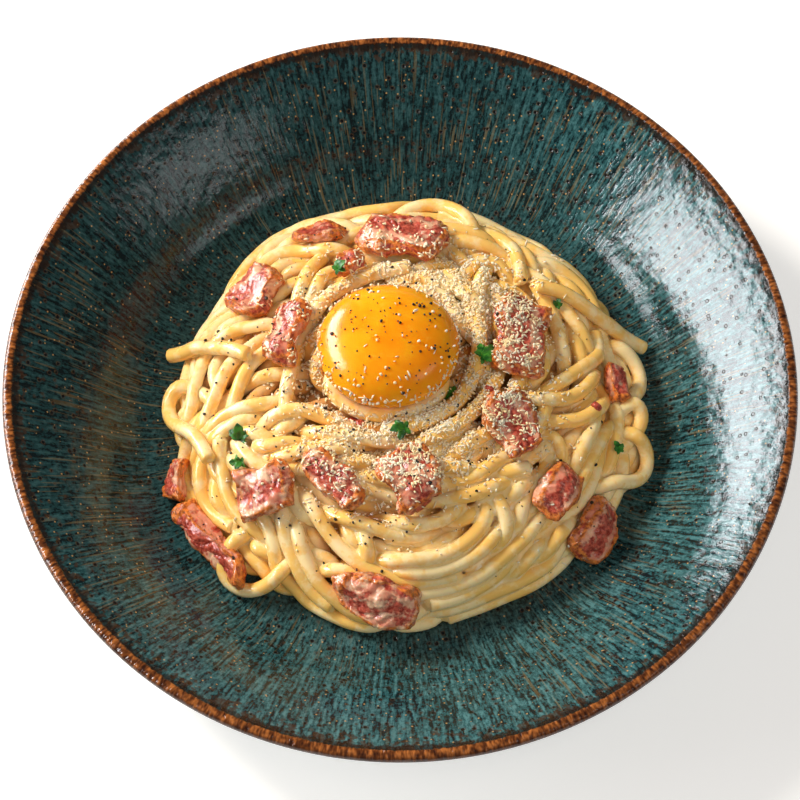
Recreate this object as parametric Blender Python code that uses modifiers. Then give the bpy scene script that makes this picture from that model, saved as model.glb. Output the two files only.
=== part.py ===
"""Spaghetti carbonara in its wide stoneware bowl.

The bowl stands on its foot ring at z = 0, with its axis on Z. The diner sits on the -Y side.
Each piece that can be told apart is one closed solid: the bowl, the coiled heap of spaghetti
out to its uneven outline, the raw egg yolk on top, and every piece of fried pork.
Run it with: blender --background --python part.py
"""

import math

import bmesh
import bpy
from mathutils import Matrix, Vector, noise

MM = 0.001
GAP = 0.4 * MM  # clearance between two pieces that touch

# The bowl: a flat floor, a wall that curves up from it, and a rounded rim.
RIM_RADIUS = 118.0 * MM  # to the middle of the rim's roll
RIM_HEIGHT = 38.5 * MM
RIM_ROLL = 2.0 * MM  # radius of the rounded lip
FLOOR_HEIGHT = 8.0 * MM
FLOOR_RADIUS = 76.0 * MM
TURN_RADIUS = 88.0 * MM  # where the floor's curve has become the wall
WALL_SLOPE = math.radians(46.0)  # just above the curve
LIP_SLOPE = math.radians(37.0)  # just below the lip
FLOOR_THICKNESS = 5.0 * MM
FOOT_OUTER = 68.0 * MM
FOOT_WIDTH = 6.0 * MM
FOOT_ROUND = 1.0 * MM
BOWL_STEPS = 60
WALL_POINTS = 7
LIP_POINTS = 5

# The heap of spaghetti: a flat-topped dome, lobed round its edge and ridged like coiled strands.
HEAP_CENTRE = Vector((2.0, 0.0, 0.0)) * MM
HEAP_RADIUS = 74.0 * MM
HEAP_HEIGHT = 32.0 * MM
HEAP_SHOULDER = 2.4  # power of the radius: higher is flatter on top
HEAP_SIDE = 0.62  # power of the rest: lower is steeper at the edge
HEAP_STEPS = 72
HEAP_RINGS = 18
HEAP_LOBES = ((3, 0.9 * MM, 0.4), (5, 0.8 * MM, 2.1), (8, 0.9 * MM, 0.9))  # count, depth, turn
RIDGE_DEPTH = 1.1 * MM
RIDGE_PITCH = 11.0 * MM
RIDGE_WANDER = 9.0 * MM

# The egg yolk: a flattened ball that sits a little way into the top of the heap.
YOLK_CENTRE = Vector((-3.5, 6.0, 43.0)) * MM
YOLK_SEMI = Vector((21.3, 19.8, 10.8)) * MM
YOLK_SEGMENTS = 20
YOLK_RINGS = 10

# The fried pork: x, y, heading in degrees, length, width and thickness, in millimetres.
PORK_PIECES = (
    (-25.6, 53.5, 4, 17, 9, 5.0),
    (1.5, 49.0, -10, 29, 18, 6.0),
    (-45.6, 32.5, 40, 19, 16, 6.0),
    (-34.5, 13.5, 72, 22, 11, 6.0),
    (37.0, 12.5, 82, 28, 18, 5.5),
    (34.0, -18.0, 118, 20, 15, 6.0),
    (47.0, -35.0, 62, 18, 11, 6.0),
    (58.5, -43.0, 72, 21, 13, 6.0),
    (-19.5, -34.5, -50, 23, 10, 6.5),
    (3.0, -34.0, -62, 20, 17, 6.0),
    (-40.5, -35.5, 12, 19, 16, 6.0),
    (-57.5, -46.0, -46, 33, 9, 6.5),
    (-68.6, -25.4, 76, 15, 8, 5.0),
    (-6.5, -66.5, -25, 28, 14, 6.5),
    (66.5, 3.0, 100, 13, 8, 5.0),
    (-15.0, 38.5, 20, 10, 7, 5.0),
)
PORK_SINK = 2.2 * MM  # how far a piece lies in the heap
PORK_CURL = 0.9 * MM  # how far a piece bends up or down along its length
PORK_RAGGED = 1.0 * MM  # unevenness of its edges
PORK_ROUND = 5.0  # power of the rounded-box shape
PORK_CUTS = (4, 3, 2)
STEEPEST_REST = math.radians(52.0)
CLEAR_OF_FLOOR = 0.5 * MM


def clear_scene():
    """Removes whatever the startup file holds."""
    for obj in list(bpy.data.objects):
        bpy.data.objects.remove(obj)


def make_collection(name):
    made = bpy.data.collections.new(name)
    bpy.context.scene.collection.children.link(made)
    return made


def make_material(name, colour, roughness, metallic=0.0):
    material = bpy.data.materials.new(name)
    material.use_nodes = True
    shader = material.node_tree.nodes["Principled BSDF"]
    shader.inputs["Base Color"].default_value = (*colour, 1.0)
    shader.inputs["Roughness"].default_value = roughness
    shader.inputs["Metallic"].default_value = metallic
    return material


def object_from(bm, name, collection, material=None):
    """A mesh object made of a bmesh, which it frees. Flat triangles keep the Boolean cuts exact."""
    mesh = bpy.data.meshes.new(name)
    bmesh.ops.recalc_face_normals(bm, faces=bm.faces)
    bmesh.ops.triangulate(bm, faces=bm.faces)
    bm.to_mesh(mesh)
    bm.free()
    mesh.shade_smooth()
    obj = bpy.data.objects.new(name, mesh)
    collection.objects.link(obj)
    if material:
        mesh.materials.append(material)
    return obj


# ---------------------------------------------------------------- the bowl


def wall_slope(radius):
    """Angle of the inner surface above the horizontal at a radius."""
    if radius < FLOOR_RADIUS:
        return 0.0
    if radius < TURN_RADIUS:
        share = (radius - FLOOR_RADIUS) / (TURN_RADIUS - FLOOR_RADIUS)
        return WALL_SLOPE * share
    share = (radius - TURN_RADIUS) / (RIM_RADIUS - TURN_RADIUS)
    return WALL_SLOPE + (LIP_SLOPE - WALL_SLOPE) * share


def inner_wall():
    """(radius, height, slope) up the inside, from the edge of the floor to where the lip's roll begins."""
    end_radius = RIM_RADIUS - RIM_ROLL * math.sin(LIP_SLOPE)
    end_height = RIM_HEIGHT + RIM_ROLL * math.cos(LIP_SLOPE)
    fine = 400
    step = (end_radius - FLOOR_RADIUS) / fine
    heights = [0.0]
    for i in range(fine):
        heights.append(heights[-1] + math.tan(wall_slope(FLOOR_RADIUS + (i + 0.5) * step)) * step)
    stretch = (end_height - FLOOR_HEIGHT) / heights[-1]
    points = []
    for i in range(WALL_POINTS + 1):
        k = round(fine * i / WALL_POINTS)
        radius = FLOOR_RADIUS + k * step
        points.append((radius, FLOOR_HEIGHT + heights[k] * stretch, wall_slope(radius)))
    return points


def bowl_profile():
    """(radius, height) of the section: up the inside, round the lip, down the outside to the foot."""
    wall = inner_wall()
    profile = [(0.0, FLOOR_HEIGHT)]
    profile += [(radius, height) for radius, height, _ in wall]
    for i in range(1, LIP_POINTS):
        turn = math.pi / 2 + LIP_SLOPE - math.pi * i / LIP_POINTS
        profile.append((RIM_RADIUS + RIM_ROLL * math.cos(turn), RIM_HEIGHT + RIM_ROLL * math.sin(turn)))
    for radius, height, slope in reversed(wall[1:]):
        share = (radius - FLOOR_RADIUS) / (wall[-1][0] - FLOOR_RADIUS)
        thickness = FLOOR_THICKNESS + (2 * RIM_ROLL - FLOOR_THICKNESS) * share
        profile.append((radius + thickness * math.sin(slope), height - thickness * math.cos(slope)))
    underside = FLOOR_HEIGHT - FLOOR_THICKNESS
    inside = FOOT_OUTER - FOOT_WIDTH
    profile += [
        (FOOT_OUTER, underside),
        (FOOT_OUTER, FOOT_ROUND),
        (FOOT_OUTER - FOOT_ROUND, 0.0),
        (inside + FOOT_ROUND, 0.0),
        (inside, FOOT_ROUND),
        (inside, underside),
        (0.0, underside),
    ]
    return profile


def make_bowl(collection, material):
    mesh = bpy.data.meshes.new("bowl")
    profile = bowl_profile()
    mesh.from_pydata(
        [(radius, 0.0, height) for radius, height in profile],
        [(i, i + 1) for i in range(len(profile) - 1)],
        [],
    )
    mesh.materials.append(material)
    bowl = bpy.data.objects.new("bowl", mesh)
    collection.objects.link(bowl)
    turn = bowl.modifiers.new("turn", "SCREW")
    turn.steps = turn.render_steps = BOWL_STEPS
    turn.use_merge_vertices = True
    turn.merge_threshold = 0.01 * MM
    turn.use_smooth_shade = True
    return bowl


# ---------------------------------------------------------------- the heap of spaghetti


def heap_edge(turn):
    """The heap's radius in the direction turn, with its lobes."""
    return HEAP_RADIUS + sum(
        depth * math.cos(count * turn + start) for count, depth, start in HEAP_LOBES
    )


def heap_height(share):
    """Height above the bowl's floor at a share of the heap's radius."""
    return HEAP_HEIGHT * max(0.0, 1.0 - share**HEAP_SHOULDER) ** HEAP_SIDE


def dome_height(x, y):
    """Height of the heap's smooth dome above z = 0 at a place in plan."""
    away = Vector((x, y, 0.0)) - HEAP_CENTRE
    share = away.length / heap_edge(math.atan2(away.y, away.x))
    return FLOOR_HEIGHT + heap_height(min(share, 1.0))


def ridge(x, y):
    """Relief of the coiled strands, from -RIDGE_DEPTH to +RIDGE_DEPTH."""
    at = Vector((x, y, 0.0)) / (45.0 * MM)
    wander = noise.noise(at) * RIDGE_WANDER
    away = Vector((x, y, 0.0)) - HEAP_CENTRE
    turn = math.atan2(away.y, away.x)
    rings = (away.length + wander) / RIDGE_PITCH + turn / (2 * math.pi)
    return RIDGE_DEPTH * math.cos(2 * math.pi * rings)


def make_heap(collection, material):
    """A turned half-section whose points are then moved out to the lobed and ridged surface."""
    bm = bmesh.new()
    section = []
    for i in range(HEAP_RINGS + 1):
        even = i / HEAP_RINGS
        share = 0.5 * (even + math.sin(0.5 * math.pi * even))  # closer together at the steep edge
        section.append(bm.verts.new((share, 0.0, heap_height(share))))
    section.append(bm.verts.new((0.94, 0.0, -1.0)))  # the underside, marked by a height below 0
    section.append(bm.verts.new((0.0, 0.0, -1.0)))
    edges = [bm.edges.new(pair) for pair in zip(section, section[1:])]
    bmesh.ops.spin(
        bm,
        geom=section + edges,
        cent=(0, 0, 0),
        axis=(0, 0, 1),
        angle=2 * math.pi,
        steps=HEAP_STEPS,
        use_merge=True,
    )
    bmesh.ops.remove_doubles(bm, verts=bm.verts, dist=1e-5)
    for vertex in bm.verts:
        share = math.hypot(vertex.co.x, vertex.co.y)
        turn = math.atan2(vertex.co.y, vertex.co.x)
        under = vertex.co.z < 0
        place = HEAP_CENTRE + Vector((math.cos(turn), math.sin(turn), 0.0)) * share * heap_edge(turn)
        if under:
            place.z = FLOOR_HEIGHT + GAP
        else:
            fade = min(1.0, vertex.co.z / (6.0 * MM))  # no ridges where the heap meets the floor
            place.z = FLOOR_HEIGHT + 2 * GAP + vertex.co.z + fade * ridge(place.x, place.y)
        vertex.co = place
    heap = object_from(bm, "spaghetti", collection, material)
    return heap


# ---------------------------------------------------------------- the yolk and the pork


def make_yolk(name, collection, material, grow=0.0):
    bm = bmesh.new()
    bmesh.ops.create_uvsphere(bm, u_segments=YOLK_SEGMENTS, v_segments=YOLK_RINGS, radius=1.0)
    size = YOLK_SEMI + Vector((grow, grow, grow))
    for vertex in bm.verts:
        vertex.co = Vector((vertex.co.x * size.x, vertex.co.y * size.y, vertex.co.z * size.z))
    yolk = object_from(bm, name, collection, material)
    yolk.location = YOLK_CENTRE
    return yolk


def rest_on_dome(x, y, heading):
    """The matrix that lays a piece flat on the heap at (x, y), with its length along heading."""
    reach = 4.0 * MM
    slope_x = (dome_height(x + reach, y) - dome_height(x - reach, y)) / (2 * reach)
    slope_y = (dome_height(x, y + reach) - dome_height(x, y - reach)) / (2 * reach)
    steep = math.atan(math.hypot(slope_x, slope_y))
    ease = math.tan(min(steep, STEEPEST_REST)) / max(math.tan(steep), 1e-6)
    normal = Vector((-slope_x * ease, -slope_y * ease, 1.0)).normalized()
    along = Vector((math.cos(heading), math.sin(heading), 0.0))
    along = (along - normal * along.dot(normal)).normalized()
    across = normal.cross(along)
    turned = Matrix((along, across, normal)).transposed().to_4x4()
    turned.translation = (x, y, dome_height(x, y))
    return turned


def pork_mesh(number, length, width, thickness, grow=0.0):
    """A rounded slab with ragged edges and a slight curl, about its own centre."""
    bm = bmesh.new()
    bmesh.ops.create_cube(bm, size=2.0)
    for axis, cuts in enumerate(PORK_CUTS):
        along = [e for e in bm.edges if abs((e.verts[0].co - e.verts[1].co)[axis]) > 1e-6]
        bmesh.ops.subdivide_edges(bm, edges=along, cuts=cuts - 1, use_grid_fill=True)
    seed = Vector((number * 7.3, number * 3.1, number * 1.7))
    for vertex in bm.verts:
        p = vertex.co.copy()
        largest = max(abs(p.x), abs(p.y), abs(p.z))
        roundness = sum(abs(v) ** PORK_ROUND for v in p) ** (1.0 / PORK_ROUND)
        p *= largest / roundness  # pulls the corners in
        ragged = [noise.noise(p * 0.9 + seed * (axis + 1)) * PORK_RAGGED for axis in range(3)]
        curl = PORK_CURL * (1.0 - 2.0 * p.x * p.x) * (1.0 if number % 3 else -1.0)
        vertex.co = Vector(
            (
                p.x * (length / 2 + grow) + ragged[0],
                p.y * (width / 2 + grow) * (1.0 + 0.12 * math.sin(3 * p.x + number)) + ragged[1],
                p.z * (thickness / 2 + grow) + curl + 0.5 * ragged[2],
            )
        )
    return bm


def make_pork(number, piece, name, collection, material, grow=0.0):
    x, y, heading, length, width, thickness = piece
    bm = pork_mesh(number, length * MM, width * MM, thickness * MM, grow)
    rest = rest_on_dome(x * MM, y * MM, math.radians(heading))
    pork = object_from(bm, name, collection, material)
    lift = thickness * MM / 2 - PORK_SINK
    rest.translation += rest.col[2].to_3d() * lift
    solid = pork_mesh(number, length * MM, width * MM, thickness * MM)
    lowest = min((rest @ vertex.co).z for vertex in solid.verts)
    solid.free()
    rest.translation.z += max(0.0, FLOOR_HEIGHT + CLEAR_OF_FLOOR - lowest)
    pork.matrix_world = rest
    return pork


def cut(obj, cutter):
    """Takes the cutter's shape out of obj, and keeps the cutter as a hidden guide."""
    cutter.hide_render = True
    cutter.display_type = "WIRE"
    difference = obj.modifiers.new("clear of " + cutter.name, "BOOLEAN")
    difference.operation = "DIFFERENCE"
    difference.object = cutter


def main():
    clear_scene()
    dish = make_collection("spaghetti_carbonara")
    cutters = make_collection("cutters")
    glaze = make_material("teal_glaze", (0.035, 0.095, 0.105), 0.25)
    pasta = make_material("creamy_pasta", (0.86, 0.66, 0.36), 0.4)
    egg = make_material("egg_yolk", (0.95, 0.42, 0.02), 0.12)
    meat = make_material("fried_pork", (0.45, 0.10, 0.06), 0.35)

    make_bowl(dish, glaze)
    heap = make_heap(dish, pasta)
    make_yolk("egg_yolk", dish, egg)
    cut(heap, make_yolk("yolk_room", cutters, None, GAP))
    for number, piece in enumerate(PORK_PIECES, start=1):
        make_pork(number, piece, f"pork_{number:02d}", dish, meat)
        cut(heap, make_pork(number, piece, f"pork_room_{number:02d}", cutters, None, GAP))


main()
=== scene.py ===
# %% [markdown]
# # Spaghetti carbonara in a stoneware bowl
#
# This script dresses a construction model of a served dish. The construction gives the
# bowl, the outline of the heap, the egg yolk and each piece of fried pork as plain
# solids at their real size. Here each of them gets the surface that the real thing has:
# glaze, separate sauced strands, a wet yolk, marbled meat, cheese, pepper and herbs.
# Everything is in metres, in the construction's own frame, with +Z up.

# %% Load the construction
import math

import bmesh
import bpy
import numpy as np
from mathutils import Matrix, Vector, noise
from mathutils.bvhtree import BVHTree


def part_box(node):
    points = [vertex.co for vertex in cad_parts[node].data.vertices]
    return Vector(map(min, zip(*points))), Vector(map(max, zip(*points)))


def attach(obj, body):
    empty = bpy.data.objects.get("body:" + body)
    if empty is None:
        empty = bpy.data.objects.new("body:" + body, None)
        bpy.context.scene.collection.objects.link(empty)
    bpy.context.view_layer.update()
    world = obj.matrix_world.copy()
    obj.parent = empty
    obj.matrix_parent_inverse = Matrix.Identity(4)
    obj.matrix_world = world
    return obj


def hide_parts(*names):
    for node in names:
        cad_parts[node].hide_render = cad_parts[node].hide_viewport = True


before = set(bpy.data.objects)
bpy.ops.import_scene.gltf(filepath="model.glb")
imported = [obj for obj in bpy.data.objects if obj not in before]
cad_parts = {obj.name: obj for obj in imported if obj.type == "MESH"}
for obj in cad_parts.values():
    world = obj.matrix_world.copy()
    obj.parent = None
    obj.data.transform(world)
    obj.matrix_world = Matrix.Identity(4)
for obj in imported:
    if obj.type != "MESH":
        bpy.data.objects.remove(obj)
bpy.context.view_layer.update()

MM = 0.001

# %% [markdown]
# ## Camera
#
# The dish is seen from the diner's side, from well above: 66 degrees over the table. A
# long lens keeps the bowl's round outline from swelling towards the viewer.

# %% Camera
VIEW_HEIGHT = math.radians(66.0)
VIEW_DISTANCE = 0.5676
LENS = 85.0
BOWL_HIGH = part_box("bowl")[1]
LOOK_AT = Vector((0.0, -0.0101, BOWL_HIGH.z - 0.002))


def place_camera():
    camera_data = bpy.data.cameras.new("camera")
    camera_data.lens = LENS
    camera = bpy.data.objects.new("camera", camera_data)
    back = Vector((0.0, -math.cos(VIEW_HEIGHT), math.sin(VIEW_HEIGHT)))
    camera.location = LOOK_AT + back * VIEW_DISTANCE
    camera.rotation_euler = back.to_track_quat("Z", "Y").to_euler()
    bpy.context.scene.collection.objects.link(camera)
    bpy.context.scene.camera = camera
    return camera


camera = place_camera()
print("camera at", tuple(round(c, 3) for c in camera.location))

# %% [markdown]
# ## Helpers for surfaces
#
# A finish is written as a recipe of plain arithmetic: `speckle * 0.5 + 0.2`. To make
# that possible, a small class wraps a node's output and turns +, -, * and / into Math
# nodes. Colours go through Mix nodes instead, because a Math node would make them grey.

# %% Shader expressions


class Value:
    """A number that varies over a surface. Arithmetic on it adds Math nodes."""

    def __init__(self, finish, socket):
        self.finish = finish
        self.socket = socket

    def _math(self, operation, *numbers):
        return self.finish.node("ShaderNodeMath", {"operation": operation}, dict(enumerate(numbers)))

    def __add__(self, other):
        return self._math("ADD", self, other)

    def __mul__(self, other):
        return self._math("MULTIPLY", self, other)

    def __sub__(self, other):
        return self._math("SUBTRACT", self, other)

    def __rsub__(self, other):
        return self._math("SUBTRACT", other, self)

    def __truediv__(self, other):
        return self._math("DIVIDE", self, other)

    __radd__ = __add__
    __rmul__ = __mul__

    def sine(self):
        return self._math("SINE", self)

    def root(self):
        return self._math("SQRT", self)

    def at_least(self, other):
        return self._math("MAXIMUM", self, other)

    def between(self, low, high):
        """0 at low, 1 at high, and a smooth step from one to the other."""
        sockets = {"Value": self, "From Min": low, "From Max": high}
        return self.finish.node("ShaderNodeMapRange", {"interpolation_type": "SMOOTHSTEP"}, sockets)

# %% A finish and its nodes


class Finish:
    """One material: its nodes, and the shader at their end."""

    def __init__(self, name, **constants):
        self.material = bpy.data.materials.new(name)
        self.material.use_nodes = True
        self.tree = self.material.node_tree
        self.shader = self.tree.nodes["Principled BSDF"]
        for socket, value in constants.items():
            self.shader.inputs[socket.replace("_", " ")].default_value = value
        self.place = self.node("ShaderNodeTexCoord", output="Object")

    def node(self, kind, settings=None, sockets=None, output=0):
        """Adds a node. Settings are set first, then its sockets get values or links."""
        node = self.tree.nodes.new(kind)
        for name, value in (settings or {}).items():
            if name == "stops":
                for element, (position, colour) in zip(self._stops(node, len(value)), value):
                    element.position = position
                    element.color = (*colour, 1.0)
            else:
                setattr(node, name, value)
        for key, value in (sockets or {}).items():
            self.plug(node.inputs[key], value)
        return Value(self, node.outputs[output])

    def _stops(self, ramp, count):
        elements = ramp.color_ramp.elements
        while len(elements) < count:
            elements.new(0.5)
        return elements

    def plug(self, socket, value):
        if isinstance(value, Value):
            self.tree.links.new(value.socket, socket)
        elif isinstance(value, tuple) and socket.type == "RGBA" and len(value) == 3:
            socket.default_value = (*value, 1.0)
        else:
            socket.default_value = value

    def set(self, **inputs):
        """Links or sets the shader's own inputs, with _ for a space."""
        for name, value in inputs.items():
            self.plug(self.shader.inputs[name.replace("_", " ")], value)

    def mix(self, share, first, second):
        """A colour between first and second."""
        return self.node("ShaderNodeMix", {"data_type": "RGBA"}, {0: share, 6: first, 7: second}, output=2)

    def ramp(self, share, stops):
        return self.node("ShaderNodeValToRGB", {"stops": stops}, {"Fac": share})

    def noise(self, size, detail=2.0, roughness=0.5, at=None, shift=0.0):
        """Cloudy noise from 0 to 1 with lumps of a size in metres."""
        vector = at or self.place
        if shift:
            vector = self.node("ShaderNodeVectorMath", {"operation": "ADD"}, {0: vector, 1: (shift,) * 3})
        sockets = {"Vector": vector, "Scale": 1.0 / size, "Detail": detail, "Roughness": roughness}
        return self.node("ShaderNodeTexNoise", None, sockets)

    def cells(self, size, output="Distance"):
        """Distance to the nearest of many scattered points, in units of a cell."""
        return self.node("ShaderNodeTexVoronoi", None, {"Vector": self.place, "Scale": 1.0 / size}, output)

    def bump(self, height, depth, strength):
        """Relief of a depth in metres, for the shader's Normal."""
        return self.node("ShaderNodeBump", None, {"Height": height, "Distance": depth, "Strength": strength})

    def attribute(self, name, output="Fac"):
        """A value that the mesh stores at each of its points."""
        return self.node("ShaderNodeAttribute", {"attribute_name": name}, output=output)

# %% [markdown]
# ## Helpers for pieces
#
# A finished piece keeps its object at the origin and its place in its mesh, the way the
# construction's own nodes do. Small functions make a mesh object, store values at its
# points and hand a finished piece to the frame. A small class builds Geometry Nodes
# trees, and another function keeps what a tree makes as a plain mesh.

# %% Mesh objects


def object_of(mesh, material=None, smooth=True):
    if material:
        mesh.materials.append(material)
    if smooth:
        mesh.shade_smooth()
    obj = bpy.data.objects.new(mesh.name, mesh)
    bpy.context.scene.collection.objects.link(obj)
    return obj


def mesh_object(name, points, faces, material=None, edges=(), smooth=True):
    mesh = bpy.data.meshes.new(name)
    mesh.from_pydata([tuple(p) for p in points], list(edges), [tuple(f) for f in faces])
    return object_of(mesh, material, smooth)


def object_from(name, bm, material):
    """An object made of a bmesh, which it frees."""
    mesh = bpy.data.meshes.new(name)
    bm.to_mesh(mesh)
    bm.free()
    return object_of(mesh, material)


def points_of(mesh):
    """A mesh's points in metres, one row each."""
    points = np.empty(len(mesh.vertices) * 3, np.float32)
    mesh.vertices.foreach_get("co", points)
    return points.reshape(-1, 3)


def keep_values(obj, name, values):
    """Stores a number or a vector for each point of a mesh, under a name that nodes can read."""
    values = np.asarray(values, np.float32)
    kind, key = ("FLOAT", "value") if values.ndim == 1 else ("FLOAT_VECTOR", "vector")
    attribute = obj.data.attributes.new(name, kind, "POINT")
    attribute.data.foreach_set(key, values.ravel())

# %% Handing a piece to the frame


def hand_over(piece, slot, *nodes):
    """Hangs a piece on the frame and hides the construction nodes that it stands for; its slot, the finish's
    name, is not used.
    """
    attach(piece, "root")
    if nodes:
        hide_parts(*nodes)
    piece.data.calc_loop_triangles()
    print(piece.name, "has", len(piece.data.loop_triangles), "triangles")
    return piece

# %% Keeping what a modifier makes


def frozen(obj, modifier):
    """Keeps what a modifier makes as a plain mesh, and takes the modifier off."""
    graph = bpy.context.evaluated_depsgraph_get()
    mesh = bpy.data.meshes.new_from_object(obj.evaluated_get(graph))
    obj.modifiers.remove(modifier)
    old = obj.data
    obj.data = mesh
    mesh.name = obj.name
    bpy.data.meshes.remove(old)
    return obj


def thinned(obj, most):
    """At most a number of triangles; flat parts lose theirs first."""
    obj.data.calc_loop_triangles()
    fewer = obj.modifiers.new("fewer", "DECIMATE")
    fewer.ratio = min(1.0, most / len(obj.data.loop_triangles))
    return frozen(obj, fewer)


def run_nodes(obj, tree, **inputs):
    """Runs a Geometry Nodes tree on an object with named inputs, and keeps a plain mesh."""
    modifier = obj.modifiers.new("nodes", "NODES")
    modifier.node_group = tree
    for item in tree.interface.items_tree:
        if item.item_type == "SOCKET" and item.in_out == "INPUT" and item.name in inputs:
            modifier[item.identifier] = inputs[item.name]
    return frozen(obj, modifier)

# %% Geometry Nodes trees


class Nodes:
    """A Geometry Nodes tree being built: its inputs, nodes and links."""

    def __init__(self, name, **inputs):
        self.tree = bpy.data.node_groups.new(name, "GeometryNodeTree")
        interface = self.tree.interface
        interface.new_socket("Geometry", in_out="OUTPUT", socket_type="NodeSocketGeometry")
        interface.new_socket("Geometry", in_out="INPUT", socket_type="NodeSocketGeometry")
        for title, kind in inputs.items():
            interface.new_socket(title, in_out="INPUT", socket_type="NodeSocket" + kind)
        self.start = self.tree.nodes.new("NodeGroupInput")
        self.end = self.tree.nodes.new("NodeGroupOutput")

    def plug(self, socket, value):
        if isinstance(value, bpy.types.NodeSocket):
            self.tree.links.new(value, socket)
        else:
            socket.default_value = value

    def add(self, kind, settings=None, **sockets):
        """Adds a node; a socket's name is written with _ for a space."""
        node = self.tree.nodes.new(kind)
        for name, value in (settings or {}).items():
            setattr(node, name, value)
        for name, value in sockets.items():
            self.plug(node.inputs[name.replace("_", " ")], value)
        return node

    def maths(self, operation, *values, kind="ShaderNodeMath"):
        """The result of a Math or Vector Math node for values or links, in their order."""
        node = self.add(kind, {"operation": operation})
        for socket, value in zip(node.inputs, values):
            self.plug(socket, value)
        return node.outputs[0]

    def stored(self, name, kind="FLOAT"):
        """A value that the mesh stores at each of its points."""
        return self.add("GeometryNodeInputNamedAttribute", {"data_type": kind}, Name=name).outputs[0]

    def given(self, title):
        return self.start.outputs[title]

    def finish(self, geometry, material):
        """Ends the tree: instances made real, smooth faces and the material set."""
        real = self.add("GeometryNodeRealizeInstances", Geometry=geometry)
        smooth = self.add("GeometryNodeSetShadeSmooth", Geometry=real.outputs[0])
        painted = self.add("GeometryNodeSetMaterial", Geometry=smooth.outputs[0], Material=material)
        self.tree.links.new(painted.outputs[0], self.end.inputs[0])
        return self.tree

# %% [markdown]
# ## The heap's outline
#
# The construction's heap is one closed solid, with room cut out of it for the yolk and
# each piece of pork. The strands have to fill it and stay inside. The distance to its
# surface is measured once on a coarse grid; later steps only look values up there,
# which is far quicker than asking for the nearest point every time. The underside is
# first moved far down, because strands lie under the top and sides only.

# %% Distance to the heap's surface, in millimetres
STRAND = 2.3  # radius of a cooked strand
CELL = 2.0  # spacing of the distance grid
UNDERSIDE_DROP = 0.04
rng = np.random.default_rng(26)


def welded_copy(node):
    """A copy of a construction node's mesh with its loose triangles joined up."""
    bm = bmesh.new()
    bm.from_mesh(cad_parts[node].data)
    bmesh.ops.remove_doubles(bm, verts=bm.verts, dist=1e-6)
    bmesh.ops.recalc_face_normals(bm, faces=bm.faces)
    return bm


def distance_grid(node, low, high):
    """Signed distance to a node's surface, negative inside, on a grid in millimetres."""
    solid = welded_copy(node)
    underside = min(vertex.co.z for vertex in solid.verts) + 0.1 * MM
    for vertex in solid.verts:
        if vertex.co.z < underside:
            vertex.co.z -= UNDERSIDE_DROP
    tree = BVHTree.FromBMesh(solid)
    counts = np.ceil((high - low) / CELL).astype(int) + 1
    grid = np.empty(counts)
    for i, j in np.ndindex(*counts[:2]):
        x, y = (low[:2] + np.array((i, j)) * CELL) * MM
        top = tree.ray_cast(Vector((x, y, 1.0)), Vector((0, 0, -1)))[0]
        for k in range(counts[2]):
            at = Vector((x, y, (low[2] + k * CELL) * MM))
            inside = top is not None and at.z < top.z
            grid[i, j, k] = tree.find_nearest(at)[3] / MM * (-1.0 if inside else 1.0)
    solid.free()
    return grid


GRID_LOW = np.array([-90.0, -90.0, 2.0])
GRID_HIGH = np.array([94.0, 90.0, 62.0])
heap_grid = distance_grid("spaghetti", GRID_LOW, GRID_HIGH)
slopes = np.stack(np.gradient(heap_grid, CELL), axis=-1)
print("distance grid", heap_grid.shape, "deepest", round(float(heap_grid.min()), 1), "mm")


def look_up(grid, points):
    """Values of a grid at points, between its cells."""
    at = np.clip((points - GRID_LOW) / CELL, 0, np.array(heap_grid.shape) - 1.001)
    whole = at.astype(int)
    part = at - whole
    total = 0.0
    for corner in np.ndindex(2, 2, 2):
        weight = np.prod(np.where(corner, part, 1 - part), axis=1)
        i, j, k = (whole + corner).T
        value = grid[i, j, k]
        total = total + (value * weight if value.ndim == 1 else value * weight[:, None])
    return total


def outward(points):
    """Unit directions that lead out of the heap."""
    slope = look_up(slopes, points)
    return slope / np.maximum(np.linalg.norm(slope, axis=1, keepdims=True), 1e-6)
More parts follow.
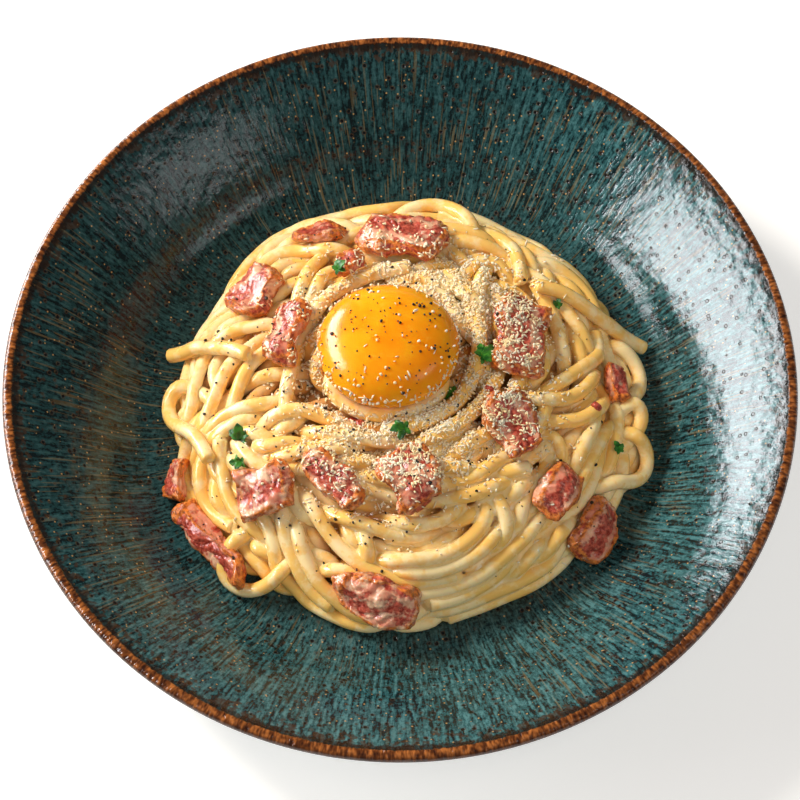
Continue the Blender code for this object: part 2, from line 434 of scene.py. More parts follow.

# %% [markdown]
# ## Laying the strands
#
# Spaghetti that is turned onto a plate with a fork lies in sweeping rings, with a few
# strands that cross them. A given list of strands sets the sweeps that catch the
# eye; the rest are traced by walking over the heap in steps, heading mostly the way the
# nearest placed strands run. Every step lands back at its layer's depth below the
# heap's surface. A grid counts what is already laid, and each new strand starts where
# the heap is barest.

# %% Listed strands, as points in plan in millimetres, lowest first
PLACED = {
    "left stub": [(-73, 16), (-66, 15), (-56, 13), (-47, 8)],
    "left loop": [(-58, -24), (-63, -15), (-69, -10), (-73, -3), (-71, 3), (-65, 3), (-58, -3)],
    "left low edge": [(-58, -4), (-64, -12), (-68, -18), (-69, -24), (-64, -33), (-55, -42)],
    "left low outline": [(-69, -27), (-66, -36), (-60, -45), (-51, -52), (-42, -54)],
    "left low loop": [(-46, -45), (-53, -50), (-54, -56), (-48, -61), (-41, -61), (-35, -57), (-31, -50)],
    "back outline": [(-3, 60), (1, 64), (6, 66), (12, 67), (18, 64), (23, 58), (26, 50)],
    "behind small pork": [(-40, 56), (-33, 62), (-26, 62), (-17, 59), (-8, 52)],
    "back left outline": [(-12, 44), (-21, 47), (-31, 49), (-39, 49), (-47, 43), (-54, 34)],
    "left shoulder": [(-50, 34), (-56, 31), (-61, 27), (-65, 20), (-67, 13), (-68, 5), (-66, -6)],
    "right outline low": [(36, -58), (48, -50), (56, -44), (62, -37), (66, -31), (69, -23), (68, -12)],
    "right loop low": [(63, -12), (70, -13), (76, -16), (77, -22), (73, -27), (66, -29), (58, -31)],
    "right loop small": [(65, -19), (71, -14), (75, -9), (74, -4), (69, -4), (64, -9)],
    "right arc": [(61, 20), (68, 18), (74, 14), (76, 7), (72, -1), (66, -6)],
    "right stub": [(43, 31), (50, 30), (57, 27), (64, 24), (70, 22), (78, 20)],
    "back right outline": [(36, 42), (42, 45), (49, 45), (55, 41), (60, 35), (63, 27), (64, 18)],
    "low right outline": [(14, -69), (24, -66), (32, -62), (40, -58), (46, -53), (52, -47)],
    "back under arc": [(8, 50), (15, 51), (22, 51), (29, 49), (35, 45), (41, 38)],
    "back thick arc": [(-2, 55), (5, 57), (13, 58), (22, 58), (29, 56), (35, 51), (38, 44), (38, 35)],
    "small arc": [(18, 34), (23, 39), (28, 42), (32, 40), (35, 34)],
    "right side long": [(63, 24), (65, 15), (67, 6), (68, -2), (68, -11), (66, -19), (62, -27)],
    "right of pork one": [(43, 34), (48, 23), (50, 13), (51, 4), (49, -4)],
    "right of pork two": [(52, 32), (54, 24), (56, 15), (57, 6), (54, -4)],
    "right gap strand": [(30, 44), (36, 42), (43, 38), (49, 30), (55, 22), (59, 13), (60, 3)],
    "right ring": [(25, -10), (34, -12), (42, -13), (50, -13), (58, -11), (63, -4), (62, 5)],
    "right cross": [(28, -4), (37, -7), (44, -8), (51, -6), (58, -1), (61, 7)],
    "right bend": [(62, 20), (62, 13), (59, 8), (53, 3), (46, -3), (38, -8), (30, -9)],
    "left inner low": [(-30, 23), (-37, 13), (-44, 9), (-48, 3), (-51, -5), (-55, -13)],
    "left inner": [(-35, 21), (-43, 16), (-49, 11), (-54, 5), (-57, -2), (-60, -9), (-63, -17), (-62, -27)],
    "left arch": [(-33, 19), (-41, 21), (-49, 21), (-56, 19), (-61, 14), (-64, 6), (-65, -2), (-67, -10)],
    "under herb": [(-56, -17), (-55, -25), (-53, -33), (-49, -40), (-42, -46), (-33, -50)],
    "left bend upper": [(-33, -5), (-40, -8), (-48, -9), (-55, -11), (-61, -16), (-64, -24), (-63, -33)],
    "left bend": [
        (-38, -10), (-46, -12), (-54, -14), (-59, -18), (-62, -24), (-62, -30), (-58, -37), (-51, -43),
    ],
    "swirl one": [(-12, -54), (-2, -57), (6, -57), (13, -55), (21, -50), (26, -44), (25, -37), (21, -30)],
    "swirl two": [(-8, -59), (2, -60), (12, -60), (21, -56), (28, -51), (32, -44), (33, -36)],
    "swirl three": [(0, -64), (10, -64), (20, -62), (28, -57), (36, -50), (42, -43), (44, -35)],
    "mid swirl": [(-9, -43), (-1, -46), (7, -47), (14, -45), (18, -40), (16, -34), (10, -29)],
    "front shelf": [(-29, -38), (-21, -43), (-13, -46), (-5, -49), (3, -50), (10, -48), (18, -43)],
    "short upright": [(-13, -42), (-11, -48), (-10, -54), (-9, -59)],
    "mid drop": [(17, -26), (21, -31), (26, -35), (30, -40), (32, -46), (29, -51), (23, -53)],
    "front arc inner": [(-36, -34), (-35, -42), (-34, -49), (-31, -56), (-27, -62), (-21, -67)],
    "front arc": [(-34, -32), (-33, -40), (-31, -48), (-28, -56), (-23, -63), (-16, -68), (-8, -71)],
    "front sweep": [
        (-33, -30), (-28, -38), (-23, -46), (-17, -53), (-10, -58), (-2, -61), (7, -62), (16, -60),
    ],
    "outer sweep": [
        (61, -6), (59, -13), (56, -20), (52, -28), (47, -37),
        (41, -45), (34, -53), (26, -60), (18, -65), (9, -67),
    ],
    "mid across": [(5, -27), (12, -30), (20, -31), (29, -31), (38, -30)],
    "upper left ramp": [(-6, 56), (-13, 55), (-21, 50), (-27, 42), (-31, 32), (-33, 23)],
    "yolk ring right": [(-3, 34), (8, 34), (18, 30), (25, 22), (27, 12)],
    "right of yolk": [(24, 30), (30, 20), (31, 8), (28, -4), (21, -14), (11, -21), (-1, -25), (-13, -26)],
    "right of yolk outer": [(22, 37), (31, 28), (37, 16), (37, 3), (34, -9), (27, -18), (17, -25), (6, -30)],
    "right of yolk inner": [(20, 26), (24, 17), (24, 6), (21, -4), (15, -12), (6, -17), (-4, -19)],
    "under cheese": [(-14, -30), (-2, -34), (10, -35), (22, -32), (33, -25), (42, -15), (46, -3)],
    "low cheese": [(-24, -26), (-14, -33), (-2, -38), (11, -40), (23, -38), (35, -31)],
    "below yolk": [(-34, -14), (-27, -18), (-18, -20), (-8, -22), (3, -22), (13, -19)],
    "yolk ring left": [
        (2, 37), (-7, 36), (-16, 32), (-24, 26), (-29, 18), (-32, 9), (-34, 0), (-35, -9), (-34, -17),
    ],
}
LOOSE_LOOPS = (  # these stand out of the heap's outline
    "left stub", "left loop", "left low loop", "back outline",
    "right loop low", "right loop small", "right stub", "right arc",
)
STEP = 2.0  # spacing of the points along a strand


def rounded_path(points, step=STEP):
    """Points at an even step along a smooth curve through the given ones."""
    points = np.array(points, float)
    ends = np.vstack([2 * points[0] - points[1], points, 2 * points[-1] - points[-2]])
    fine = []
    for i in range(1, len(ends) - 2):
        t = np.linspace(0, 1, 24, endpoint=False)[:, None]
        a, b, c, d = ends[i - 1 : i + 3]
        fine.append(b + 0.5 * t * (c - a + t * (2 * a - 5 * b + 4 * c - d + t * (3 * (b - c) + d - a))))
    fine = np.vstack(fine + [points[-1:]])
    run = np.concatenate([[0], np.cumsum(np.linalg.norm(np.diff(fine, axis=0), axis=1))])
    even = np.linspace(0, run[-1], max(3, round(run[-1] / step) + 1))
    return np.stack([np.interp(even, run, fine[:, k]) for k in range(fine.shape[1])], axis=1)


FLOOR = 8.0  # height of the bowl's inner floor


def drop_onto_heap(plan, depth):
    """Gives a plan path its height: where the distance to the heap's surface equals -depth."""
    column = np.arange(FLOOR + STRAND, 60.0, 0.25)
    heights = []
    for x, y in plan:
        spot = np.column_stack([np.full_like(column, x), np.full_like(column, y), column])
        inside = look_up(heap_grid, spot) < -depth
        heights.append(column[inside][-1] if inside.any() else FLOOR + STRAND)
    return np.column_stack([plan, heights])

# %% Leading the ends down into the heap
DIVE = 14.0  # the last stretch of a strand goes down into the heap
DIVE_DEPTH = 5.0
FREE_ENDS = ("left stub", "right stub")  # their cut ends stay in sight


def dived(path):
    """The same path with both ends led down under their neighbours."""
    run = np.arange(len(path)) * STEP
    to_end = np.minimum(run, run[::-1])
    path[:, 2] -= np.maximum(1.0 - to_end / DIVE, 0.0) ** 2 * DIVE_DEPTH
    path[:, 2] = np.maximum(path[:, 2], FLOOR + STRAND)
    return path


placed_paths = {}
for name, plan in PLACED.items():
    path = rounded_path(drop_onto_heap(rounded_path(plan, 3.0), STRAND - 0.4))
    placed_paths[name] = path if name in FREE_ENDS else dived(path)
placed_length = sum(len(path) for path in placed_paths.values()) * STEP
print(len(placed_paths), "strands placed by hand,", round(placed_length / 1000, 2), "m")

# %% The way strands run near each place
guide_points = np.vstack([path[1:-1] for path in placed_paths.values()])
guide_ways = np.vstack([path[2:] - path[:-2] for path in placed_paths.values()])
guide_ways /= np.linalg.norm(guide_ways, axis=1, keepdims=True)
HEAP_LOW, HEAP_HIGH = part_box("spaghetti")
HEAP_MIDDLE = np.array((HEAP_LOW + HEAP_HIGH) / 2) / MM
GUIDE_REACH = 9.0


def way_at(point, heading):
    """The local run of the strands, turned to agree with the present heading."""
    away = point - HEAP_MIDDLE
    around = np.array([-away[1], away[0], 0.0])
    around /= max(np.linalg.norm(around), 1e-6)
    near = np.exp(-((guide_points - point) ** 2).sum(axis=1) / (2 * GUIDE_REACH**2))
    signs = np.sign(guide_ways @ heading)
    pull = (guide_ways * (near * signs)[:, None]).sum(axis=0)
    pull = pull + around * 0.6 * np.sign(around @ heading)
    return pull / max(np.linalg.norm(pull), 1e-6)

# %% Walking strands over the heap
BOX = 1.5  # size of a box in which laid strands are counted
KEEP_HEADING = 0.75  # how much of its heading a strand keeps at each step
crowd = np.zeros(np.ceil((GRID_HIGH - GRID_LOW) / BOX).astype(int) + 3)


def mark(path):
    """Counts a path in the grid of what is already laid."""
    for i, j, k in ((path - GRID_LOW) / BOX).astype(int):
        crowd[max(i - 1, 0) : i + 2, max(j - 1, 0) : j + 2, max(k - 1, 0) : k + 2] += 1


def crowding(point):
    i, j, k = ((point - GRID_LOW) / BOX).astype(int)
    return crowd[i, j, k]


def spots_on_heap(count, depth):
    """Random points at a depth below the heap's surface, even over its area."""
    span = GRID_HIGH - GRID_LOW
    spots = GRID_LOW + rng.random((count * 120, 3)) * span
    off = look_up(heap_grid, spots) + depth
    spots = spots[(np.abs(off) < 1.0) & (spots[:, 2] > FLOOR + STRAND)]
    return spots[:count]


def walk(start, heading, length, depth, wander):
    """A strand's half, from start along heading, keeping its depth until its end dives."""
    path = [start]
    drift = rng.normal(0, wander)
    point = start
    count = int(length / STEP)
    for number in range(count):
        down = max(0.0, 1.0 - (count - number) * STEP / DIVE) * DIVE_DEPTH
        drift = 0.93 * drift + rng.normal(0, wander * 0.35)
        way = way_at(point, heading)
        normal = outward(point[None])[0]
        way = way - normal * (way @ normal)
        side = np.cross(normal, way)
        heading = heading * KEEP_HEADING + (1 - KEEP_HEADING) * (way + side * drift)
        heading -= normal * (heading @ normal)
        heading /= max(np.linalg.norm(heading), 1e-6)
        point = point + heading * STEP
        point = point - outward(point[None])[0] * (look_up(heap_grid, point[None])[0] + depth + down)
        point[2] = max(point[2], FLOOR + STRAND)
        path.append(point)
    return path

# %% Laying the layers


def lay_layer(count, depth, wander, turn, shortest, longest):
    """Strands of one layer; turn is how far, in radians, they cross the main run."""
    laid = []
    for _ in range(count):
        spots = spots_on_heap(24, depth)
        start = min(spots, key=lambda spot: crowding(spot) + 0.01 * rng.random())
        way = way_at(start, rng.normal(size=3))
        normal = outward(start[None])[0]
        side = np.cross(normal, way)
        angle = rng.normal(0, turn)
        heading = way * math.cos(angle) + side * math.sin(angle)
        length = rng.uniform(shortest, longest)
        ahead = walk(start, heading, length * 0.5, depth, wander)
        behind = walk(start, -heading, length * 0.5, depth, wander)
        path = np.array(behind[:0:-1] + ahead)
        mark(path)
        laid.append(path)
    return laid


for path in placed_paths.values():
    mark(path)
top_layer = lay_layer(36, STRAND + 1.4, 0.26, 0.40, 90, 190)
middle_layer = lay_layer(44, STRAND + 5.0, 0.35, 0.8, 70, 160)
deep_layer = lay_layer(40, STRAND + 8.6, 0.35, 0.9, 60, 140)
strands = deep_layer + middle_layer + top_layer + list(placed_paths.values())
print(len(strands), "strands,", round(sum(len(s) for s in strands) * STEP / 1000, 1), "m in all")

# %% [markdown]
# ## Letting the strands settle
#
# So far strands pass through one another. Each is now a row of beads, and a few hundred
# small corrections make them lie as real ones do: touching beads push apart, links keep
# their length, bends stay smooth, nothing sinks into the bowl, the yolk or the pork, and
# all of it stays in the heap. The listed strands hold their place in plan.

# %% Finding beads that touch


def bead_pairs(points, reach):
    """All pairs of beads closer than reach, found through a grid of boxes."""
    box = np.floor(points / reach).astype(np.int64) + 500
    key = (box[:, 0] * 1000 + box[:, 1]) * 1000 + box[:, 2]
    order = np.argsort(key, kind="stable")
    ranked = key[order]
    firsts, seconds = [], []
    for i, j, k in np.ndindex(3, 3, 3):
        shift = ((i - 1) * 1000 + (j - 1)) * 1000 + (k - 1)
        if shift < 0:
            continue
        left = np.searchsorted(ranked, key + shift, "left")
        counts = np.searchsorted(ranked, key + shift, "right") - left
        first = np.repeat(np.arange(len(points)), counts)
        within = np.arange(counts.sum()) - np.repeat(np.cumsum(counts) - counts, counts)
        second = order[np.repeat(left, counts) + within]
        keep = first < second if shift == 0 else first != second
        firsts.append(first[keep])
        seconds.append(second[keep])
    first, second = np.concatenate(firsts), np.concatenate(seconds)
    close = ((points[first] - points[second]) ** 2).sum(axis=1) < reach**2
    return first[close], second[close]

# %% Settling
ROUNDS = 160
APART, LINK_PULL, STIFF, INWARD = 0.7, 0.35, 0.12, 0.4  # share of each fault that a round mends
SAG = 0.03  # how far every bead sinks in a round, in millimetres


def add_at(total, index, values):
    for axis in range(3):
        total[:, axis] += np.bincount(index, values[:, axis], len(total))


def settle(strands, hold, free):
    """Relaxes all strands together. hold is each bead's pull to its own plan place."""
    owner = np.repeat(np.arange(len(strands)), [len(s) for s in strands])
    beads = np.vstack(strands)
    home = beads.copy()
    linked = owner[1:] == owner[:-1]
    link = np.nonzero(linked)[0]
    rest = np.linalg.norm(beads[link + 1] - beads[link], axis=1)
    inner = np.nonzero(linked[1:] & linked[:-1])[0] + 1
    wide = 2 * STRAND
    for step in range(ROUNDS):
        if step % 8 == 0:
            first, second = bead_pairs(beads, wide + 1.2)
            apart = (owner[first] != owner[second]) | (np.abs(first - second) > 4)
            first, second = first[apart], second[apart]
        gap = beads[second] - beads[first]
        size = np.maximum(np.linalg.norm(gap, axis=1), 1e-6)
        push = np.maximum(wide - size, 0)[:, None] * gap / size[:, None]
        pushed = np.bincount(first, size < wide, len(beads)) + np.bincount(second, size < wide, len(beads))
        move = np.zeros_like(beads)
        add_at(move, first, -0.5 * push)
        add_at(move, second, 0.5 * push)
        beads += move / np.sqrt(np.maximum(pushed, 1))[:, None] * APART
        for _ in range(2):
            span = beads[link + 1] - beads[link]
            length = np.maximum(np.linalg.norm(span, axis=1), 1e-6)
            fix = (span * ((length - rest) / length)[:, None]) * LINK_PULL
            move = np.zeros_like(beads)
            add_at(move, link, fix)
            add_at(move, link + 1, -fix)
            beads += move
        bend = beads[inner - 1] + beads[inner + 1] - 2 * beads[inner]
        curve = np.zeros_like(beads)
        curve[inner] = bend
        beads[inner] += STIFF * (curve[inner] - 0.5 * (curve[inner - 1] + curve[inner + 1]))
        depth = look_up(heap_grid, beads)
        out = np.maximum(depth + STRAND, 0) * (1 - free)
        beads -= outward(beads) * (INWARD * out)[:, None]
        beads[:, 2] -= SAG
        beads[:, :2] += hold[:, None] * (home - beads)[:, :2]
        beads[:, 2] = np.maximum(beads[:, 2], FLOOR + STRAND)
    left = np.maximum(wide - np.linalg.norm(beads[second] - beads[first], axis=1), 0)
    print("settled; deepest overlap", round(float(left.max()), 2), "mm, mean", round(float(left.mean()), 3))
    ends = np.cumsum([len(s) for s in strands])[:-1]
    return np.split(beads, ends)

# %% Settle all strands together
by_hand = len(placed_paths)
traced = [0.0] * (len(strands) - by_hand)
bead_counts = [len(path) for path in strands]
hold = np.repeat(traced + [0.25] * by_hand, bead_counts)
free = np.repeat(traced + [float(name in LOOSE_LOOPS) for name in placed_paths], bead_counts)
strands = settle(strands, hold, free)
for path in strands:  # takes small kinks out
    for _ in range(4):
        path[1:-1] = 0.25 * path[:-2] + 0.5 * path[1:-1] + 0.25 * path[2:]

# %% [markdown]
# ## Strands as tubes
#
# A strand's beads become a line of edges. Geometry Nodes turn each line into a curve,
# give it its thickness, which varies a little along its length, and sweep a circle
# along it. The cut ends get a small round-over from a few extra points that taper.

# %% Sweep a circle along the strands


def tube_tree(material, name):
    nodes = Nodes(name, Sides="Int", Radius="Float")
    curve = nodes.add("GeometryNodeMeshToCurve", Mesh=nodes.given("Geometry"))
    share = nodes.stored("thickness")
    thick = nodes.add("GeometryNodeSetCurveRadius", Curve=curve.outputs[0], Radius=share)
    circle = nodes.add(
        "GeometryNodeCurvePrimitiveCircle", Resolution=nodes.given("Sides"), Radius=nodes.given("Radius")
    )
    tube = nodes.add("GeometryNodeCurveToMesh", Curve=thick.outputs[0], Profile_Curve=circle.outputs[0])
    tube.inputs["Fill Caps"].default_value = True
    if "Scale" in tube.inputs:
        nodes.plug(tube.inputs["Scale"], share)
    return nodes.finish(tube.outputs[0], material)


def strand_lines(name, paths):
    """All paths as one mesh of edges, with each point's share of the full thickness."""
    points, edges, thickness = [], [], []
    for path in paths:
        first, last = path[0] - path[1], path[-1] - path[-2]
        first /= np.linalg.norm(first)
        last /= np.linalg.norm(last)
        body = 1.0 + 0.025 * np.sin(np.arange(len(path)) * 0.35 + rng.uniform(0, 6))
        body *= 1.0 + rng.normal(0, 0.02)
        tips = [path[0] + first * d for d in (0.75, 0.6, 0.3)]
        tails = [path[-1] + last * d for d in (0.3, 0.6, 0.75)]
        shares = np.concatenate([[0.45, 0.75, 0.93], body, [0.93, 0.75, 0.45]])
        start = len(points)
        points += tips + list(path) + tails
        thickness += list(shares)
        edges += [(i, i + 1) for i in range(start, len(points) - 1)]
    obj = mesh_object(name, np.array(points) * MM, [], edges=edges, smooth=False)
    keep_values(obj, "thickness", thickness)
    # depth below the heap's surface, which the finish turns into painted shade in the grooves
    keep_values(obj, "depth", -look_up(heap_grid, np.array(points)))
    return obj

# %% The strands' finish


def make_pasta():
    pasta = Finish(
        "creamy_pasta",
        Roughness=0.3,
        Subsurface_Weight=0.35,
        Subsurface_Scale=0.0025,
        Subsurface_Radius=(1.0, 0.55, 0.22),
        IOR=1.45,
    )
    film = pasta.noise(0.006, 3.0, 0.6)
    fine = pasta.noise(0.0012, 3.0, 0.6)
    patches = pasta.noise(0.022, 2.0, 0.5)
    depth = pasta.attribute("depth")
    bare, creamy = (0.96, 0.58, 0.16), (0.97, 0.75, 0.41)
    colour = pasta.mix((film + (patches - 0.5) * 0.8).between(0.38, 0.64), bare, creamy)
    # painted shade: strands deeper below the heap's surface darken to a warm brown, as grooves in shade
    # would
    colour = pasta.mix((depth + film * 2.0 - 1.0).between(4.0, 9.0) * 0.75, colour, (0.50, 0.19, 0.035))
    pasta.set(
        Base_Color=colour,
        Roughness=0.15 + film.between(0.3, 0.7) * 0.22,
        Normal=pasta.bump(film * 0.5 + fine * 0.5, 0.0003, 0.4),
    )
    return pasta


pasta = make_pasta()
spaghetti = strand_lines("spaghetti_strands", strands)
run_nodes(spaghetti, tube_tree(pasta.material, "sweep strands"), Sides=10, Radius=STRAND * MM)
hand_over(spaghetti, "creamy_pasta", "spaghetti")

# %% [markdown]
# ## The sauce between the strands
#
# Cream and egg sauce clings in the grooves between strands and pulls webs across them.
# That shape follows a rule: wherever strands crowd together, their distance field is
# low on all sides. Blurring the field closes the grooves and leaves the crests bare,
# so the sauce is the zero surface of the blurred field, moved out a little more where
# the dish is more heavily sauced. The same field holds the heap's smaller core.

# %% Distance field of strands and core, in millimetres
VOXEL = 0.72
FIELD_LOW = np.array([-80.0, -80.0, 6.5])
FIELD_HIGH = np.array([86.0, 76.0, 46.0])
CORE_DEPTH = 12.5  # the core starts this far below the heap's surface
REACH = 3.0  # how far from a strand the field is measured
field_shape = np.ceil((FIELD_HIGH - FIELD_LOW) / VOXEL).astype(int)
axes = [FIELD_LOW[k] + VOXEL * np.arange(field_shape[k]) for k in range(3)]


def resampled(grid):
    """The coarse distance grid on the fine voxels, one axis at a time."""
    for axis in range(3):
        coarse = (axes[axis] - GRID_LOW[axis]) / CELL
        whole = np.clip(coarse.astype(int), 0, grid.shape[axis] - 2)
        part = (coarse - whole).reshape([-1 if k == axis else 1 for k in range(3)])
        grid = np.take(grid, whole, axis) * (1 - part) + np.take(grid, whole + 1, axis) * part
    return grid.astype(np.float32)

# %% Strands and puddles in the field


def add_rods(field, path, radius):
    """Lowers the field to the distance from each link of a path."""
    for start, end in zip(path[:-1], path[1:]):
        low = np.minimum(start, end) - radius - REACH
        high = np.maximum(start, end) + radius + REACH
        first = np.maximum(((low - FIELD_LOW) / VOXEL).astype(int), 0)
        last = np.minimum(((high - FIELD_LOW) / VOXEL).astype(int) + 1, field_shape)
        if (last <= first).any():
            continue
        block = tuple(slice(a, b) for a, b in zip(first, last))
        x, y, z = (axes[k][block[k]].reshape([-1 if n == k else 1 for n in range(3)]) for k in range(3))
        span = end - start
        dx, dy, dz = x - start[0], y - start[1], z - start[2]
        along = np.clip((dx * span[0] + dy * span[1] + dz * span[2]) / max(span @ span, 1e-9), 0, 1)
        away = (dx - along * span[0]) ** 2 + (dy - along * span[1]) ** 2 + (dz - along * span[2]) ** 2
        field[block] = np.minimum(field[block], np.sqrt(away) - radius)


def blurred(field, spread):
    """The field after a Gaussian blur of a spread in millimetres."""
    reach = int(math.ceil(2.5 * spread / VOXEL))
    offsets = np.arange(-reach, reach + 1)
    weights = np.exp(-((offsets * VOXEL) ** 2) / (2 * spread**2))
    weights /= weights.sum()
    for axis in range(3):
        padded = np.pad(field, [(reach, reach) if k == axis else (0, 0) for k in range(3)], mode="edge")
        total = np.zeros_like(field)
        for offset, weight in zip(offsets, weights):
            view = [slice(None)] * 3
            view[axis] = slice(reach + offset, reach + offset + field.shape[axis])
            total += np.float32(weight) * padded[tuple(view)]
        field = total
    return field


PUDDLES = [((-1, -65), 8.0), ((21, -62), 4.5), ((33.6, -57), 5.0)]  # plan places and radii


def add_puddle(field, x, y, size):
    """Lowers the field to a flattened ball of sauce that ran out onto the bowl's floor."""
    high = size * 0.55
    off = [(axes[0] - x) / size, (axes[1] - y) / size, (axes[2] - FLOOR - 1.5) / high]
    away = off[0][:, None, None] ** 2 + off[1][None, :, None] ** 2 + off[2][None, None, :] ** 2
    return np.minimum(field, ((np.sqrt(away) - 1) * high).astype(np.float32))


raw_field = np.minimum(resampled(heap_grid) + CORE_DEPTH, REACH).astype(np.float32)
for path in strands:
    add_rods(raw_field, path, STRAND)
for (x, y), size in PUDDLES:
    raw_field = add_puddle(raw_field, x, y, size)
print("field of", raw_field.size // 1000, "thousand voxels")

# %% How much sauce clings, and where


def smooth_noise(size, seed):
    """Noise from -1 to 1 over the voxels, with lumps of a size in millimetres."""
    counts = [int((FIELD_HIGH[k] - FIELD_LOW[k]) / size) + 4 for k in range(3)]
    lumps = np.random.default_rng(seed).uniform(-1, 1, counts)
    for axis in range(3):
        coarse = (axes[axis] - FIELD_LOW[axis]) / size + 0.5
        whole = coarse.astype(int)
        part = coarse - whole
        part = (part * part * (3 - 2 * part)).reshape([-1 if k == axis else 1 for k in range(3)])
        lumps = np.take(lumps, whole, axis) * (1 - part) + np.take(lumps, whole + 1, axis) * part
    return lumps.astype(np.float32)

# %% The sauce's own field
SPREAD = 0.95  # of the blur, in millimetres
THIN_FILM = -0.42
MORE_SAUCE = 0.24
RICHEST = (20.0, -44.0)  # in plan; the diner's right gets more of it
SAUCE_REACH = 30.0
across, down = axes[0][:, None, None] - RICHEST[0], axes[1][None, :, None] - RICHEST[1]
richness = np.exp(-(across**2 + down**2) / (2 * SAUCE_REACH**2))
film = THIN_FILM + MORE_SAUCE * richness + 0.16 * smooth_noise(9.0, 3) + 0.06 * smooth_noise(3.0, 4)
sauce_field = blurred(raw_field, SPREAD) - film.astype(np.float32)
sauce_field = np.maximum(sauce_field, (FLOOR + 0.15 - axes[2]).astype(np.float32)[None, None, :])

# %% Turning a field into a surface


def zero_surface(field):
    """Points and quads of the surface where the field is zero, one point in each crossed cell."""
    inside = field < 0
    corner_shape = np.array(field.shape) - 1
    mixed = np.zeros(corner_shape, bool)
    all_in = np.ones(corner_shape, bool)
    corners = list(np.ndindex(2, 2, 2))
    for i, j, k in corners:
        part = inside[i : i + corner_shape[0], j : j + corner_shape[1], k : k + corner_shape[2]]
        mixed |= part
        all_in &= part
    mixed &= ~all_in
    cells = np.argwhere(mixed)
    ids = np.full(corner_shape, -1, np.int32)
    ids[tuple(cells.T)] = np.arange(len(cells))
    values = np.stack([field[tuple((cells + c).T)] for c in corners], axis=1)
    total = np.zeros((len(cells), 3))
    count = np.zeros(len(cells))
    for a, first in enumerate(corners):
        for b, second in enumerate(corners):
            if b > a and sum(abs(p - q) for p, q in zip(first, second)) == 1:
                u, v = values[:, a], values[:, b]
                crossed = (u < 0) != (v < 0)
                share = np.where(crossed, u / np.where(crossed, u - v, 1), 0)
                at = np.array(first) + share[:, None] * (np.array(second) - np.array(first))
                total += at * crossed[:, None]
                count += crossed
    points = FIELD_LOW + (cells + total / count[:, None]) * VOXEL
    quads = []
    for axis in range(3):
        u, v = (axis + 1) % 3, (axis + 2) % 3
        low = [slice(1, -1)] * 3
        high = [slice(1, -1)] * 3
        low[axis], high[axis] = slice(0, -1), slice(1, None)
        here, there = inside[tuple(low)], inside[tuple(high)]
        for flip, crossed in ((False, here & ~there), (True, there & ~here)):
            at = np.argwhere(crossed)
            at[:, u] += 1
            at[:, v] += 1
            ring = []
            for du, dv in ((-1, -1), (0, -1), (0, 0), (-1, 0)):
                spot = at.copy()
                spot[:, u] += du
                spot[:, v] += dv
                ring.append(ids[tuple(spot.T)])
            quad = np.stack(ring[::-1] if flip else ring, axis=1)
            quads.append(quad)
    return points, np.vstack(quads)

# %% The sauce piece
MOST_TRIANGLES = 190000


def largest_island(count, quads):
    """Which points belong to the largest connected surface."""
    label = np.arange(count)
    pairs = np.vstack([quads[:, [0, 1]], quads[:, [1, 2]], quads[:, [2, 3]]])
    while True:
        low = np.minimum(label[pairs[:, 0]], label[pairs[:, 1]])
        new = label.copy()
        np.minimum.at(new, pairs[:, 0], low)
        np.minimum.at(new, pairs[:, 1], low)
        new = new[new]
        new = new[new]
        if (new == label).all():
            break
        label = new
    return label == np.bincount(label).argmax()


def field_piece(name, field, material):
    """A mesh object of the field's largest zero surface, with how much sauce lies at each point."""
    points, quads = zero_surface(field)
    kept = largest_island(len(points), quads)
    renumbered = np.cumsum(kept) - 1
    quads = renumbered[quads[kept[quads[:, 0]]]]
    points = points[kept]
    piece = thinned(mesh_object(name, points * MM, quads.tolist(), material), MOST_TRIANGLES)
    points = points_of(piece.data) / MM
    at = np.clip(((points - FIELD_LOW) / VOXEL).round().astype(int), 0, np.array(field.shape) - 1)
    keep_values(piece, "cover", raw_field[tuple(at.T)])
    # depth below the heap's surface, which the finish turns into painted shade in the grooves
    keep_values(piece, "depth", -look_up(heap_grid, points))
    return piece

# %% The sauce's finish


def make_cream():
    cream = Finish(
        "cream_sauce",
        Roughness=0.25,
        Subsurface_Weight=0.35,
        Subsurface_Scale=0.003,
        Subsurface_Radius=(1.0, 0.6, 0.3),
        IOR=1.45,
    )
    lumps = cream.noise(0.004, 3.0, 0.6)
    grain = cream.noise(0.0010, 3.0, 0.65)
    depth = cream.attribute("depth")
    cover = cream.attribute("cover")
    colour = cream.mix(lumps.between(0.35, 0.65), (0.97, 0.75, 0.45), (0.98, 0.86, 0.65))
    colour = cream.mix(1 - (cover + lumps - 0.5).between(0.0, 0.7), colour, (0.96, 0.65, 0.27))
    # painted shade: sauce deeper below the heap's surface darkens to a warm brown, as grooves in shade would
    colour = cream.mix((depth + lumps * 2.0 - 1.0).between(3.6, 7.5) * 0.85, colour, (0.42, 0.15, 0.025))
    cream.set(
        Base_Color=colour,
        Roughness=0.13 + grain * 0.22,
        Normal=cream.bump(lumps * 0.6 + grain * 0.4, 0.0007, 0.6),
    )
    return cream


cream = make_cream()
sauce = field_piece("sauce_and_core", sauce_field, cream.material)
hand_over(sauce, "creamy_pasta", "spaghetti")

# %% [markdown]
# ## The bowl's shape
#
# The bowl is thrown on a wheel, so one section turned about the axis is its whole shape.
# The construction has that section with straight facets. Its height is read off at a
# row of radii, from above for the inside and from below for the outside, and rounded to
# a smooth curve. Geometry Nodes then turn it: a flat grid with one row for each point of
# the section is rolled up into a full turn, and the seam and the middle are joined.

